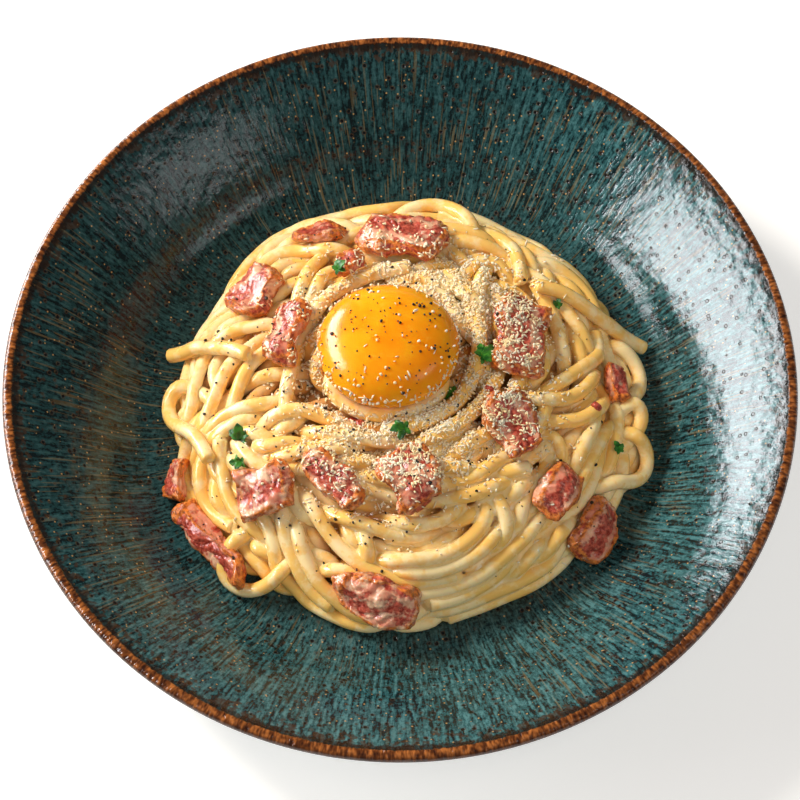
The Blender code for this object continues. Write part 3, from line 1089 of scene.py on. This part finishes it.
# %% The bowl's section, from the middle of the floor over the lip to the middle below
FLOOR_RADIUS = 76.0
LIP_RADIUS = 118.0  # the rolled lip's own centre
LIP_HEIGHT = 38.5
LIP_ROLL = 2.0
FOOT = [(68.0, 3.0), (68.0, 1.0), (67.0, 0.0), (63.0, 0.0), (62.0, 1.0), (62.0, 3.0), (0.0, 3.0)]


def plumb(radii, direction):
    """Heights where a plumb line at each radius meets the construction bowl."""
    solid = welded_copy("bowl")
    tree = BVHTree.FromBMesh(solid)
    start = -direction * 200.0
    heights = []
    for radius in radii:
        hit = tree.ray_cast(Vector((radius * MM, 0.0001, start * MM)), Vector((0, 0, direction)))[0]
        heights.append(hit.z / MM)
    solid.free()
    return list(zip(radii, heights))


def bowl_section():
    inside = plumb([FLOOR_RADIUS, 81.8, 87.7, 93.5, 99.3, 105.1, 111.0, 116.5], -1)
    outside = plumb([119.3, 113.6, 107.9, 102.1, 96.2, 89.6, 82.9, 69.0], 1)
    turn = np.radians(np.linspace(118, -20, 9))
    lip = np.column_stack([LIP_RADIUS + LIP_ROLL * np.cos(turn), LIP_HEIGHT + LIP_ROLL * np.sin(turn)])
    flat = np.column_stack([np.linspace(0, FLOOR_RADIUS, 20)[:-1], np.full(19, FLOOR)])
    wall = rounded_path(inside, 1.6)
    under = rounded_path(outside, 2.4)
    return np.vstack([flat, wall, lip, under, FOOT])


section = bowl_section()
print("bowl section of", len(section), "points, widest", round(section[:, 0].max(), 1), "mm")

# %% [markdown]
# ## The bowl's glaze
#
# A reactive glaze breaks wherever it runs thin: over the turning ribs, at pits, and on
# the lip, where the brown clay shows through. So the finish is worked out in "ray
# space", which is the direction from the middle plus the distance from it. There,
# noise that is fine across and long outwards gives the radial ribs and dashes. Dark
# pits with rusty halos and gold specks lie on top as scattered points. Each layer
# mixes its colour over what the layers before it gave.

# %% Directions and distances for the glaze
RIBS = 400  # around the whole bowl
glaze = Finish("teal_glaze", Roughness=0.1, IOR=1.42)
axes_of = glaze.node("ShaderNodeSeparateXYZ", None, {"Vector": glaze.place})
x, y, z = (Value(glaze, axes_of.socket.node.outputs[k]) for k in range(3))
radius = (x * x + y * y).root().at_least(0.0005)
ray = glaze.node("ShaderNodeCombineXYZ", None, {"X": x / radius, "Y": y / radius, "Z": radius * 3.4})
slow_ray = glaze.node("ShaderNodeCombineXYZ", None, {"X": x / radius, "Y": y / radius, "Z": radius * 0.6})
rib = 2 * math.pi / RIBS  # the width of one rib, as an angle

# %% Ribs and dashes that run outwards, fading to a matted texture on the floor
on_wall = radius.between(0.058, 0.088)
dashes = glaze.noise(rib * 0.62, 2.0, 0.65, at=ray)
long_ribs = glaze.noise(rib * 0.60, 0.0, 0.5, at=slow_ray, shift=9.0)
matted = glaze.noise(0.0011, 3.0, 0.7)
cloud = glaze.noise(0.026, 2.0, 0.5)
streak = dashes * 0.46 + long_ribs * 0.20 + matted * 0.34
texture = matted + (streak - matted) * on_wall
deep, teal, pale = (0.003, 0.013, 0.017), (0.022, 0.092, 0.104), (0.092, 0.255, 0.282)
colour = glaze.mix(texture.between(0.43, 0.51), deep, teal)
colour = glaze.mix(texture.between(0.50, 0.62) * (cloud * 0.8 + 0.30), colour, pale)

# %% Olive where the glaze lies thin, and painted shade darkening the back and left walls
olive = (1 - radius.between(0.060, 0.094)) * 0.75 + cloud.between(0.52, 0.72) * 0.15
colour = glaze.mix(olive * matted.between(0.30, 0.58), colour, (0.034, 0.034, 0.016))
# painted shade: a straight ramp across the bowl darkens the back and left walls, which face away from the
# lights
back_left_painted_shade = (y * 5.0 - x * 5.5 + 0.5).between(0.35, 0.95) * 0.55
colour = glaze.mix(back_left_painted_shade, colour, (0.003, 0.008, 0.008))

# %% Gold lines along some ribs, and gold specks
gold_line = glaze.noise(rib * 0.40, 0.0, 0.5, at=slow_ray, shift=3.0).between(0.64, 0.72)
gold_patch = glaze.noise(0.05, 1.0, 0.5, shift=1.0).between(0.42, 0.60)
colour = glaze.mix(gold_line * gold_patch * 0.38, colour, (0.24, 0.16, 0.06))
speck_field = glaze.cells(0.0019)
chosen = glaze.node("ShaderNodeSeparateXYZ", None, {"Vector": glaze.cells(0.0019, output="Color")})
gold_speck = (1 - speck_field.between(0.11, 0.19)) * chosen.between(0.50, 0.54)
colour = glaze.mix(gold_speck * 0.8, colour, (0.52, 0.31, 0.12))

# %% Pits with rusty halos
pit_distance = glaze.cells(0.0034) + (matted - 0.5) * 0.12
pits = 1 - pit_distance.between(0.12, 0.20)
halo = 1 - pit_distance.between(0.17, 0.31)
colour = glaze.mix(halo * 0.5, colour, (0.085, 0.038, 0.014))
colour = glaze.mix(pits, colour, (0.004, 0.005, 0.006))

# %% The lip, where the clay shows
out = radius - LIP_RADIUS * MM
up = z - LIP_HEIGHT * MM
from_lip = (out * out + up * up).root()
ragged = glaze.noise(rib * 0.7, 2.0, 0.6, at=ray, shift=5.0)
broken = glaze.noise(0.0030, 2.0, 0.65, shift=2.0)
rusty = 1 - (from_lip - (broken - 0.52) * 0.030).between(0.0018, 0.0040)
colour = glaze.mix(rusty * 0.7, colour, (0.050, 0.022, 0.010))
over_lip = out + (ragged - 0.5) * 0.0012
black_edge = 1 - (from_lip + (ragged - 0.5) * 0.0030).between(0.0022, 0.0030)
colour = glaze.mix(black_edge * 0.8, colour, (0.012, 0.007, 0.005))
lip = over_lip.between(-0.00125, -0.00085) * (up + 0.0016).between(0.0, 0.0010)
beads = glaze.noise(rib * 0.5, 1.0, 0.5, at=ray, shift=7.0)
copper_stops = [(0.34, (0.028, 0.008, 0.004)), (0.48, (0.130, 0.038, 0.010)), (0.64, (0.42, 0.14, 0.034))]
copper = glaze.ramp(beads * 0.6 + broken * 0.4, copper_stops)
# painted shade: the copper darkens over the lip's outer half, where the rolled edge turns down
outer = out.between(0.0008, 0.0019)
copper = glaze.mix(outer * 0.8, copper, (0.035, 0.012, 0.007))
colour = glaze.mix(lip, colour, copper)

# %% Relief and gloss of the glaze
orange_peel = glaze.noise(0.0045, 1.0, 0.5, shift=11.0)
relief = texture * 0.6 + orange_peel * 0.8 - pits * 0.35 + lip * beads * 1.4
normal = glaze.bump(relief, 0.0004, 0.75)
gloss = 0.06 + glaze.noise(0.0030, 2.0, 0.6).between(0.45, 0.75) * 0.12 + lip * 0.10
glaze.set(Base_Color=colour, Roughness=gloss, Normal=normal)
print("glaze of", len(glaze.tree.nodes), "nodes")

# %% Turn the section


def turning_tree(material, name):
    """Rolls a flat grid up into a full turn of the section that the mesh's points give."""
    nodes = Nodes(name, Turn_Steps="Int", Rings="Int")
    rings = nodes.given("Rings")
    columns = nodes.maths("ADD", nodes.given("Turn_Steps"), 1.0)
    sizes = {"Size_X": 1.0, "Size_Y": 1.0, "Vertices_X": columns, "Vertices_Y": rings}
    grid = nodes.add("GeometryNodeMeshGrid", **sizes)
    index = nodes.add("GeometryNodeInputIndex").outputs[0]
    column = nodes.maths("FLOOR", nodes.maths("DIVIDE", nodes.maths("ADD", index, 0.5), rings))
    row = nodes.maths("SUBTRACT", index, nodes.maths("MULTIPLY", column, rings))
    place = nodes.add("GeometryNodeInputPosition").outputs[0]
    sample = nodes.add(
        "GeometryNodeSampleIndex",
        {"data_type": "FLOAT_VECTOR"},
        Geometry=nodes.given("Geometry"),
        Value=place,
        Index=row,
    )
    apart = nodes.add("ShaderNodeSeparateXYZ", Vector=sample.outputs[0])
    angle = nodes.maths("MULTIPLY", nodes.maths("DIVIDE", column, nodes.given("Turn_Steps")), 2 * math.pi)
    x = nodes.maths("MULTIPLY", apart.outputs[0], nodes.maths("COSINE", angle))
    y = nodes.maths("MULTIPLY", apart.outputs[0], nodes.maths("SINE", angle))
    where = nodes.add("ShaderNodeCombineXYZ", X=x, Y=y, Z=apart.outputs[2])
    rolled = nodes.add("GeometryNodeSetPosition", Geometry=grid.outputs[0], Position=where.outputs[0])
    joined = nodes.add("GeometryNodeMergeByDistance", Geometry=rolled.outputs[0], Distance=1e-6)
    return nodes.finish(joined.outputs[0], material)


profile = np.column_stack([section[:, 0], np.zeros(len(section)), section[:, 1]]) * MM
bowl = mesh_object("turned_bowl", profile, [], smooth=False)
run_nodes(bowl, turning_tree(glaze.material, "turn a section"), Turn_Steps=720, Rings=len(section))
shell = bmesh.new()
shell.from_mesh(bowl.data)
bmesh.ops.recalc_face_normals(shell, faces=shell.faces)
print("open edges in the bowl:", sum(1 for edge in shell.edges if len(edge.link_faces) != 2))
shell.to_mesh(bowl.data)
shell.free()
hand_over(bowl, "teal_glaze", "bowl")

# %% [markdown]
# ## The egg yolk
#
# A raw yolk is a thin bag of liquid that sags under its own weight. A finely divided
# ball pressed to the construction yolk's size and flattened below is that shape. Light
# goes into it and comes back deeper in colour, which subsurface scattering gives, and
# the wet skin is glossy.

# %% Yolk
YOLK_LOW, YOLK_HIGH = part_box("egg_yolk")
YOLK_MIDDLE = (YOLK_LOW + YOLK_HIGH) / 2
YOLK_HALF = (YOLK_HIGH - YOLK_LOW) / 2


def make_yolk():
    ball = bmesh.new()
    bmesh.ops.create_icosphere(ball, subdivisions=5, radius=1.0)
    for vertex in ball.verts:
        p = vertex.co
        sag = 1.0 + 0.06 * (0.3 - p.z) * (1 - abs(p.z))
        uneven = 1.0 + 0.012 * math.sin(3 * p.x + 1.0) * math.cos(2 * p.y)
        p.x *= sag * uneven
        p.y *= sag * uneven
        p.z = p.z * 0.92 if p.z < 0 else p.z
        vertex.co = Vector([YOLK_MIDDLE[k] + p[k] * YOLK_HALF[k] for k in range(3)])
    skin = Finish(
        "egg_yolk",
        Roughness=0.22,
        Subsurface_Weight=0.55,
        Subsurface_Scale=0.006,
        Subsurface_Radius=(1.0, 0.35, 0.05),
        IOR=1.34,
        Coat_Weight=0.12,
        Coat_Roughness=0.12,
    )
    cloud = skin.noise(0.012, 2.0, 0.5)
    veins = skin.noise(0.0035, 3.0, 0.6)
    colour = skin.mix(cloud.between(0.35, 0.65), (0.98, 0.30, 0.003), (0.99, 0.41, 0.008))
    colour = skin.mix(veins.between(0.55, 0.75) * 0.3, colour, (1.0, 0.54, 0.05))
    skin.set(Base_Color=colour, Normal=skin.bump(cloud, 0.0006, 0.25))
    return hand_over(object_from("yolk", ball, skin.material), "egg_yolk", "egg_yolk")


yolk = make_yolk()

# %% [markdown]
# ## Fried pork
#
# Each piece is cut from cured belly, so lean and fat run through it in bands, and
# frying browns its corners. The construction's block is divided finely, softened and
# pushed in and out by noise. Each point also keeps its place along the piece's own
# length, width and thickness, so that the bands follow the cut whichever way it lies.

# %% Pork finish


def make_pork_finish():
    pork = Finish(
        "fried_pork",
        Roughness=0.3,
        Subsurface_Weight=0.25,
        Subsurface_Scale=0.002,
        Subsurface_Radius=(1.0, 0.25, 0.15),
        Coat_Weight=0.4,
        Coat_Roughness=0.12,
    )
    browned, sauced = pork.attribute("corner"), pork.attribute("sauced")
    own = pork.attribute("along_cut", "Vector")
    width = pork.node("ShaderNodeSeparateXYZ", None, {"Vector": own}, output=1)
    warp = pork.noise(0.007, 3.0, 0.6)
    fibres = pork.noise(0.0012, 3.0, 0.65)
    band = (width * 700.0 + warp * 9.0 + fibres * 1.2).sine() * 0.5 + 0.5
    lean = pork.mix(fibres.between(0.35, 0.65), (0.270, 0.022, 0.010), (0.640, 0.130, 0.080))
    fat = pork.mix(warp.between(0.4, 0.65), (0.720, 0.270, 0.170), (0.860, 0.540, 0.350))
    colour = pork.mix(band.between(0.55, 0.95) * 0.9, lean, fat)
    brown = pork.mix(fibres.between(0.3, 0.62), (0.260, 0.040, 0.006), (0.760, 0.230, 0.040))
    colour = pork.mix((browned + (fibres - 0.5) * 0.8).between(0.28, 0.72), colour, brown)
    cream = (sauced + (pork.noise(0.003, 3.0, 0.6) - 0.5) * 1.6).between(0.55, 0.95)
    colour = pork.mix(cream * 0.75, colour, (0.92, 0.66, 0.45))
    pork.set(
        Base_Color=colour,
        Roughness=0.22 + fibres * 0.25 + cream * 0.08,
        Normal=pork.bump(fibres + band * 0.4 + cream * 0.5, 0.0005, 0.6),
    )
    return pork


pork_finish = make_pork_finish()

# %% Along a cut, and where it browns


def own_axes(points):
    """The piece's own length, width and thickness directions."""
    centred = points - points.mean(axis=0)
    values, ways = np.linalg.eigh(centred.T @ centred)
    ways = ways[:, ::-1]
    return centred @ ways


def edge_sharpness(block, points):
    """0 on flat faces of a cut, 1 along its edges, where frying browns it first."""
    links = np.array([[vertex.index for vertex in edge.verts] for edge in block.edges])
    normals = np.array([vertex.normal for vertex in block.verts])
    count = np.maximum(np.bincount(links.ravel(), minlength=len(points)), 1)

    def neighbour_mean(values):
        total = [
            np.bincount(links[:, 0], column[links[:, 1]], len(points))
            + np.bincount(links[:, 1], column[links[:, 0]], len(points))
            for column in values.T
        ]
        return np.stack(total, axis=1) / count[:, None]

    bulge = ((points - neighbour_mean(points)) * normals).sum(axis=1)[:, None]
    for _ in range(5):
        bulge = 0.4 * bulge + 0.6 * neighbour_mean(bulge)
    bulge = bulge[:, 0]
    return np.clip(bulge / np.percentile(bulge, 88), 0, 1)

# %% Make the pork pieces


def finely_divided(node, longest):
    """A copy of a node's mesh, divided until no edge is longer than a length in metres."""
    block = welded_copy(node)
    for _ in range(5):
        long_edges = [edge for edge in block.edges if edge.calc_length() > longest]
        if not long_edges:
            break
        bmesh.ops.subdivide_edges(block, edges=long_edges, cuts=1, use_grid_fill=True)
        bmesh.ops.triangulate(block, faces=block.faces)
    return block


def pork_piece(node, number):
    block = finely_divided(node, 0.9 * MM)
    every_way = {"use_axis_x": True, "use_axis_y": True, "use_axis_z": True}
    bmesh.ops.smooth_vert(block, verts=block.verts, factor=0.3, **every_way)
    block.normal_update()
    block.verts.index_update()
    points = np.array([vertex.co for vertex in block.verts])
    local = own_axes(points)
    corner = edge_sharpness(block, points)
    for vertex, seat in zip(block.verts, local):
        at = Vector(seat) * 160.0 + Vector((number * 7.0, 0, 0))
        fine = Vector(seat) * 600.0 + Vector((0, number * 5.0, 0))
        fold = abs(noise.noise(Vector(seat) * 260.0 + Vector((3.0, 0, number * 3.0))))
        lump = noise.noise(at) * 1.0 + noise.noise(fine) * 0.35 - max(0.0, 0.16 - fold) * 4.0
        pull = Vector([noise.noise(at * 0.75 + Vector((0, 0, 11.0 * k))) for k in (1, 2, 3)])
        vertex.co += (vertex.normal * lump + pull * 2.2) * MM
    piece = object_from(f"cut_{number:02d}", block, pork_finish.material)
    keep_values(piece, "along_cut", local)
    keep_values(piece, "corner", corner)
    keep_values(piece, "sauced", np.full(len(corner), SAUCED.get(node, 0.50)))
    return hand_over(piece, "fried_pork", node)


SAUCED = {  # how much cream lies on a piece, where it isn't the usual amount
    "pork_09": 0.58,
    "pork_10": 0.52,
    "pork_11": 0.62,
    "pork_12": 0.15,
    "pork_14": 0.62,
}
pork_nodes = sorted(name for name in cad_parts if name.startswith("pork_"))
cuts = [pork_piece(node, number) for number, node in enumerate(pork_nodes, start=1)]

# %% [markdown]
# ## What is sprinkled on top
#
# Grated cheese, cracked pepper and chopped parsley fall from above, so each grain's
# place is found by dropping a line onto everything below it. A density says how likely
# a grain is at each spot. Geometry Nodes then set a small shape on every place, with
# its own turn and size, and roughen all of them with noise so that no two are alike.

# %% Dropping grains onto the dish


def everything_below(pieces):
    """One search tree over the surfaces of several pieces."""
    points, triangles, start = [], [], 0
    for piece in pieces:
        mesh = piece.data
        mesh.calc_loop_triangles()
        corners = np.empty(len(mesh.loop_triangles) * 3, np.int32)
        mesh.loop_triangles.foreach_get("vertices", corners)
        points.append(points_of(mesh))
        triangles.append(corners.reshape(-1, 3) + start)
        start += len(mesh.vertices)
    triangles = np.vstack(triangles).tolist()
    return BVHTree.FromPolygons(np.vstack(points).tolist(), triangles, all_triangles=True)


served = everything_below([spaghetti, sauce, yolk] + cuts)


def drop(x, y):
    """Where a grain let go above (x, y), in millimetres, comes to rest, and the slope there."""
    return served.ray_cast(Vector((x * MM, y * MM, 0.1)), Vector((0, 0, -1)))[:2]


def sprinkle(count, density, reach=70.0):
    """Random resting places for grains, more of them where the density is higher."""
    places, slopes_there = [], []
    while len(places) < count:
        x, y = rng.uniform(-reach, reach, 2)
        if rng.random() > density(x, y):
            continue
        place, slope = drop(x, y)
        if place is not None and slope.z > 0.15:
            places.append(place)
            slopes_there.append(slope)
    return places, slopes_there

# %% A grain on every place


def grains_mesh(name, places, slopes_there, sizes, lift):
    """Places as bare points that carry a turn and a size for each grain."""
    turns = []
    for slope in slopes_there:
        lie = slope.to_track_quat("Z", "Y").to_matrix() @ Matrix.Rotation(rng.uniform(0, 6.28), 3, "Z")
        tilt = Matrix.Rotation(rng.normal(0, 0.45), 3, "X")
        turns.append(tuple((lie @ tilt).to_euler()))
    points = [p + s * size[2] * lift for p, s, size in zip(places, slopes_there, sizes)]
    obj = mesh_object(name, points, [], smooth=False)
    keep_values(obj, "turn", turns)
    keep_values(obj, "size", sizes)
    return obj


def grain_tree(material, name):
    """Sets a roughened grain on every point."""
    nodes = Nodes(name, Detail="Int", Roughening="Float", Lump="Float", Seed="Float")
    grain = nodes.add("GeometryNodeMeshIcoSphere", Radius=1.0, Subdivisions=nodes.given("Detail"))
    placed = nodes.add(
        "GeometryNodeInstanceOnPoints",
        Points=nodes.given("Geometry"),
        Instance=grain.outputs[0],
        Rotation=nodes.stored("turn", "FLOAT_VECTOR"),
        Scale=nodes.stored("size", "FLOAT_VECTOR"),
    )
    real = nodes.add("GeometryNodeRealizeInstances", Geometry=placed.outputs[0])
    lumps = nodes.add(
        "ShaderNodeTexNoise",
        {"noise_dimensions": "4D"},
        Vector=nodes.add("GeometryNodeInputPosition").outputs[0],
        W=nodes.given("Seed"),
        Detail=1.0,
        Scale=nodes.maths("DIVIDE", 1.0, nodes.given("Lump")),
    )
    vector_maths = "ShaderNodeVectorMath"
    centred = nodes.maths("SUBTRACT", lumps.outputs["Color"], (0.5, 0.5, 0.5), kind=vector_maths)
    scaled = nodes.add(vector_maths, {"operation": "SCALE"}, Vector=centred, Scale=nodes.given("Roughening"))
    rough = nodes.add("GeometryNodeSetPosition", Geometry=real.outputs[0], Offset=scaled.outputs[0])
    return nodes.finish(rough.outputs[0], material)


def near(x, y, centre, spread):
    return math.exp(-((x - centre[0]) ** 2 + (y - centre[1]) ** 2) / (2 * spread**2))


yolk_spot = (YOLK_MIDDLE.x / MM, YOLK_MIDDLE.y / MM)

# %% Grated cheese
CHEESE_HEAPS = [  # where the cheese lies thickest in plan, with its spread and share
    ((26, 26), 9, 0.9),
    ((33, 12), 8, 0.8),
    ((14, 33), 8, 0.7),
    ((-6, 33), 9, 0.5),
    ((26, -8), 9, 0.7),
    ((2, -20), 12, 0.9),
    ((-14, -22), 10, 0.7),
    ((14, -24), 8, 0.6),
    ((-28, 2), 6, 0.4),
    ((-26, 26), 8, 0.25),
    ((40, -14), 8, 0.3),
]


def cheese_density(x, y):
    from_yolk = math.hypot(x - yolk_spot[0], (y - yolk_spot[1]) * 1.06)
    ring = math.exp(-(((from_yolk - 24) / 5.5) ** 2)) * 0.5
    total = ring + 0.04 * near(x, y, (4, 0), 40) + sum(s * near(x, y, c, w) for c, w, s in CHEESE_HEAPS)
    on_yolk = 0.10 if from_yolk < 20.5 else 1.0
    clumps = 0.35 + 1.3 * max(0.0, noise.noise(Vector((x / 3.2, y / 3.2, 4.0))) + 0.3)
    return min(1.0, total * on_yolk * clumps)


def cheese_sizes(count):
    """Half sizes of shreds and crumbs in metres."""
    sizes = []
    for _ in range(count):
        if rng.random() < 0.45:
            shred = (rng.uniform(0.5, 1.5), rng.uniform(0.20, 0.34), rng.uniform(0.16, 0.26))
            sizes.append(tuple(side * MM for side in shred))
        else:
            sizes.append(tuple(rng.uniform(0.22, 0.60, 3) * MM))
    return sizes


cheese = Finish(
    "grated_cheese",
    Roughness=0.55,
    Subsurface_Weight=0.3,
    Subsurface_Scale=0.0015,
    Subsurface_Radius=(1.0, 0.7, 0.4),
)
crumb_tone = cheese.noise(0.006, 2.0, 0.5)
cheese.set(Base_Color=cheese.mix(crumb_tone.between(0.35, 0.65), (0.98, 0.77, 0.44), (0.99, 0.90, 0.68)))
places, slopes_there = sprinkle(5600, cheese_density, 56.0)
grated = grains_mesh("cheese_shreds", places, slopes_there, cheese_sizes(len(places)), 0.8)
cheese_tree = grain_tree(cheese.material, "set cheese")
run_nodes(grated, cheese_tree, Detail=1, Roughening=0.0012, Lump=0.0012, Seed=1.0)
hand_over(grated, "grated_cheese")

# %% Cracked pepper


def pepper_density(x, y):
    from_yolk = math.hypot(x - yolk_spot[0], y - yolk_spot[1])
    on_yolk = 0.75 if from_yolk < 19 else 0.0
    left = 0.5 * near(x, y, (-30, 0), 26) + 0.35 * near(x, y, (-20, -34), 20)
    return min(1.0, on_yolk + left + 0.28 * near(x, y, (6, -4), 34) + 0.3 * near(x, y, (12, -26), 12))


pepper = Finish("black_pepper", Roughness=0.6)
grit = pepper.noise(0.0012, 2.0, 0.6)
pepper.set(Base_Color=pepper.mix(grit.between(0.45, 0.7), (0.010, 0.008, 0.006), (0.075, 0.045, 0.025)))
places, slopes_there = sprinkle(520, pepper_density, 62.0)
GRADES, SHARES = [0.22, 0.31, 0.44, 0.60], [0.38, 0.34, 0.20, 0.08]  # half sizes in millimetres
sizes = [tuple(rng.uniform(0.6, 1.1, 3) * rng.choice(GRADES, p=SHARES) * MM) for _ in places]
cracked = grains_mesh("pepper_grains", places, slopes_there, sizes, 0.6)
pepper_tree = grain_tree(pepper.material, "set pepper")
run_nodes(cracked, pepper_tree, Detail=2, Roughening=0.0005, Lump=0.0006, Seed=5.0)
hand_over(cracked, "black_pepper")

# %% [markdown]
# ## Chopped parsley
#
# A chopped sprig is a few leaflets, each cut into lobes. One leaflet is a thin closed
# shape with a lobed outline and a crease along its middle. Several are turned round a
# spot to make a sprig, smaller ones towards the stem.

# %% Parsley


def leaflet_points(length, width, bend):
    """A leaflet's top points: a spine, and lobed edges on both sides."""
    steps = 13
    top = []
    for i in range(steps):
        t = i / (steps - 1)
        lobe = 0.72 + 0.28 * abs(math.cos(t * math.pi * 2.6))
        half = width * math.sin(math.pi * min(1.0, t * 0.9 + 0.08)) ** 0.7 * lobe
        rise = bend * math.sin(t * math.pi) * length
        for side in (-1.0, -0.5, 0.0, 0.5, 1.0):
            fold = abs(side) * 0.18 * width
            top.append(Vector((t * length, side * half, rise + fold)))
    return top, steps


def leaflet(turned, at, length, width, bend, thickness=0.11):
    """A closed leaflet, turned and moved to its place: points and faces."""
    top, steps = leaflet_points(length, width, bend)
    points = [turned @ p + at for p in top]
    points += [turned @ (p - Vector((0, 0, thickness))) + at for p in top]
    faces, count = [], len(top)
    for i in range(steps - 1):
        for j in range(4):
            a, b = i * 5 + j, (i + 1) * 5 + j
            faces.append((a, b, b + 1, a + 1))
            faces.append((count + a, count + a + 1, count + b + 1, count + b))
    rim = [i * 5 for i in range(steps)] + [(steps - 1) * 5 + j for j in range(1, 5)]
    rim += [i * 5 + 4 for i in range(steps - 2, -1, -1)] + [3, 2, 1]
    for a, b in zip(rim, rim[1:] + rim[:1]):
        faces.append((b, a, count + a, count + b))
    return points, faces

# %% Sprigs
SPRIGS = [  # place in plan, size and heading of each sprig
    ((-47.7, -17.8), 7.0, 2.2),
    ((-47.2, -25.6), 4.8, 4.0),
    ((-18.7, 34.9), 5.0, 1.8),
    ((24.3, 4.1), 6.6, 5.6),
    ((16.6, -5.9), 5.4, 0.5),
    ((1.2, -19.2), 6.0, 3.4),
    ((66.5, -19.5), 4.0, 1.0),
    ((49.7, 26.5), 3.4, 2.0),
]
LEAFLETS = ((-0.95, 0.75), (0.0, 1.0), (0.95, 0.8), (2.2, 0.55), (-2.3, 0.5))  # turn and share of size


def sprig(x, y, size, heading):
    """Leaflets round a spot on the dish, as one list of points and faces each."""
    spot, slope = drop(x, y)
    seat = slope.lerp(Vector((0, 0, 1)), 0.5).to_track_quat("Z", "Y").to_matrix()
    for spread, share in LEAFLETS:
        turn = Matrix.Rotation(heading + spread, 3, "Z") @ Matrix.Rotation(rng.uniform(-0.5, 0.1), 3, "Y")
        turn = turn @ Matrix.Rotation(rng.uniform(-0.5, 0.5), 3, "X")
        length = size * 0.80 * share
        yield leaflet(seat @ turn, spot / MM + slope * 0.9, length, length * 0.36, rng.uniform(0.05, 0.25))


def make_parsley():
    herb = Finish("green_herb", Roughness=0.45, Subsurface_Weight=0.1, Subsurface_Scale=0.001)
    tone = herb.noise(0.002, 2.0, 0.5)
    herb.set(
        Base_Color=herb.mix(tone.between(0.35, 0.65), (0.010, 0.085, 0.010), (0.055, 0.250, 0.028)),
        Normal=herb.bump(herb.noise(0.0007, 2.0, 0.6), 0.0002, 0.6),
    )
    points, faces = [], []
    for (x, y), size, heading in SPRIGS:
        for new_points, new_faces in sprig(x, y, size, heading):
            faces += [tuple(i + len(points) for i in face) for face in new_faces]
            points += new_points
    parsley = mesh_object("parsley_sprigs", [p * MM for p in points], faces, herb.material)
    return hand_over(parsley, "green_herb")


parsley = make_parsley()

# %% [markdown]
# ## Crumbs of pork
#
# Where pork is fried, small crumbs break off and colour dark. A few of them lie between
# the strands. They are too small for a piece of their own in the construction, so they
# are sprinkled like the pepper, only larger and in the pork's finish.

# %% Pork crumbs
CRUMBS = [  # place in plan and half length of each crumb, in millimetres
    ((-14.5, -14.0), 2.6),
    ((-12.0, -15.5), 1.8),
    ((27.0, -6.0), 1.6),
    ((-38.0, 22.0), 1.7),
    ((60.0, -8.0), 1.8),
]
places, slopes_there = zip(*(drop(*place) for place, size in CRUMBS))
sizes = [(size * MM, size * 0.6 * MM, size * 0.45 * MM) for place, size in CRUMBS]
crumbs = grains_mesh("pork_crumbs", places, slopes_there, sizes, 0.2)
crumb_tree = grain_tree(pork_finish.material, "set crumbs")
run_nodes(crumbs, crumb_tree, Detail=4, Roughening=0.0016, Lump=0.0016, Seed=9.0)
hand_over(crumbs, "fried_pork")

# %% [markdown]
# ## Floor and lights
#
# Shiny glaze shows whatever stands round it, so the lights are placed by what the bowl
# should mirror. A wide window on the left gives the long streak on the right wall, and a
# small panel on the right the faint one at the back left. Their light and their shine
# are kept apart: a key lamp and a soft fill shape the food but leave no shine, and a
# card that only shows as shine stands where the window is.

# %% Floor and world
floor = mesh_object("floor", [(-6, -6, 0), (6, -6, 0), (6, 6, 0), (-6, 6, 0)], [(0, 1, 2, 3)])
WHITE = (1.0, 1.0, 1.0, 1.0)
floor_paint = Finish("floor_paint", Roughness=0.7, Emission_Color=WHITE, Emission_Strength=0.38)
floor_paint.set(Base_Color=(0.93, 0.93, 0.93))
floor.data.materials.append(floor_paint.material)
world = bpy.data.worlds.new("studio")
bpy.context.scene.world = world
world.use_nodes = True
background = world.node_tree.nodes["Background"]
background.inputs["Color"].default_value = (1.0, 0.98, 0.96, 1.0)
background.inputs["Strength"].default_value = 0.10
bpy.context.scene.view_settings.view_transform = "Standard"

# %% Lights
MIDDLE = Vector((0, 0, 0.03))


def add_panel(name, seat, size, radiance, colour=(1.0, 1.0, 1.0), roll=0.0, diffuse=True, glossy=True):
    """A glowing panel. Its seat is an azimuth from +X, a height, both in degrees, and a distance."""
    turn, lift = math.radians(seat[0]), math.radians(seat[1])
    way = (math.cos(turn) * math.cos(lift), math.sin(turn) * math.cos(lift), math.sin(lift))
    data = bpy.data.lights.new(name, "AREA")
    data.shape = "RECTANGLE"
    data.size, data.size_y = size
    data.energy = radiance * math.pi * size[0] * size[1]
    data.color = colour
    panel = bpy.data.objects.new(name, data)
    panel.location = tuple(seat[2] * c for c in way)
    facing = (panel.location - MIDDLE).to_track_quat("Z", "Y").to_matrix()
    panel.rotation_euler = (facing @ Matrix.Rotation(math.radians(roll), 3, "Z")).to_euler()
    panel.visible_diffuse, panel.visible_glossy = diffuse, glossy
    bpy.context.scene.collection.objects.link(panel)
    return panel


lights = [
    add_panel("window", (163, 18, 1.0), (1.30, 0.34), 5.0, (1.0, 0.96, 0.91), 19, glossy=False),
    add_panel("shine card", (160, 20, 1.0), (1.45, 0.36), 21.0, (0.94, 0.97, 1.0), 23, diffuse=False),
    add_panel("fill panel", (-31, 37, 1.0), (0.50, 0.15), 3.0, roll=-12),
    add_panel("soft fill", (-62, 60, 1.2), (0.9, 0.9), 1.75, (1.0, 0.92, 0.82), glossy=False),
    add_panel("key lamp", (148, 40, 1.0), (0.26, 0.26), 52.0, (1.0, 0.93, 0.83), glossy=False),
]
print(len(lights), "lights")
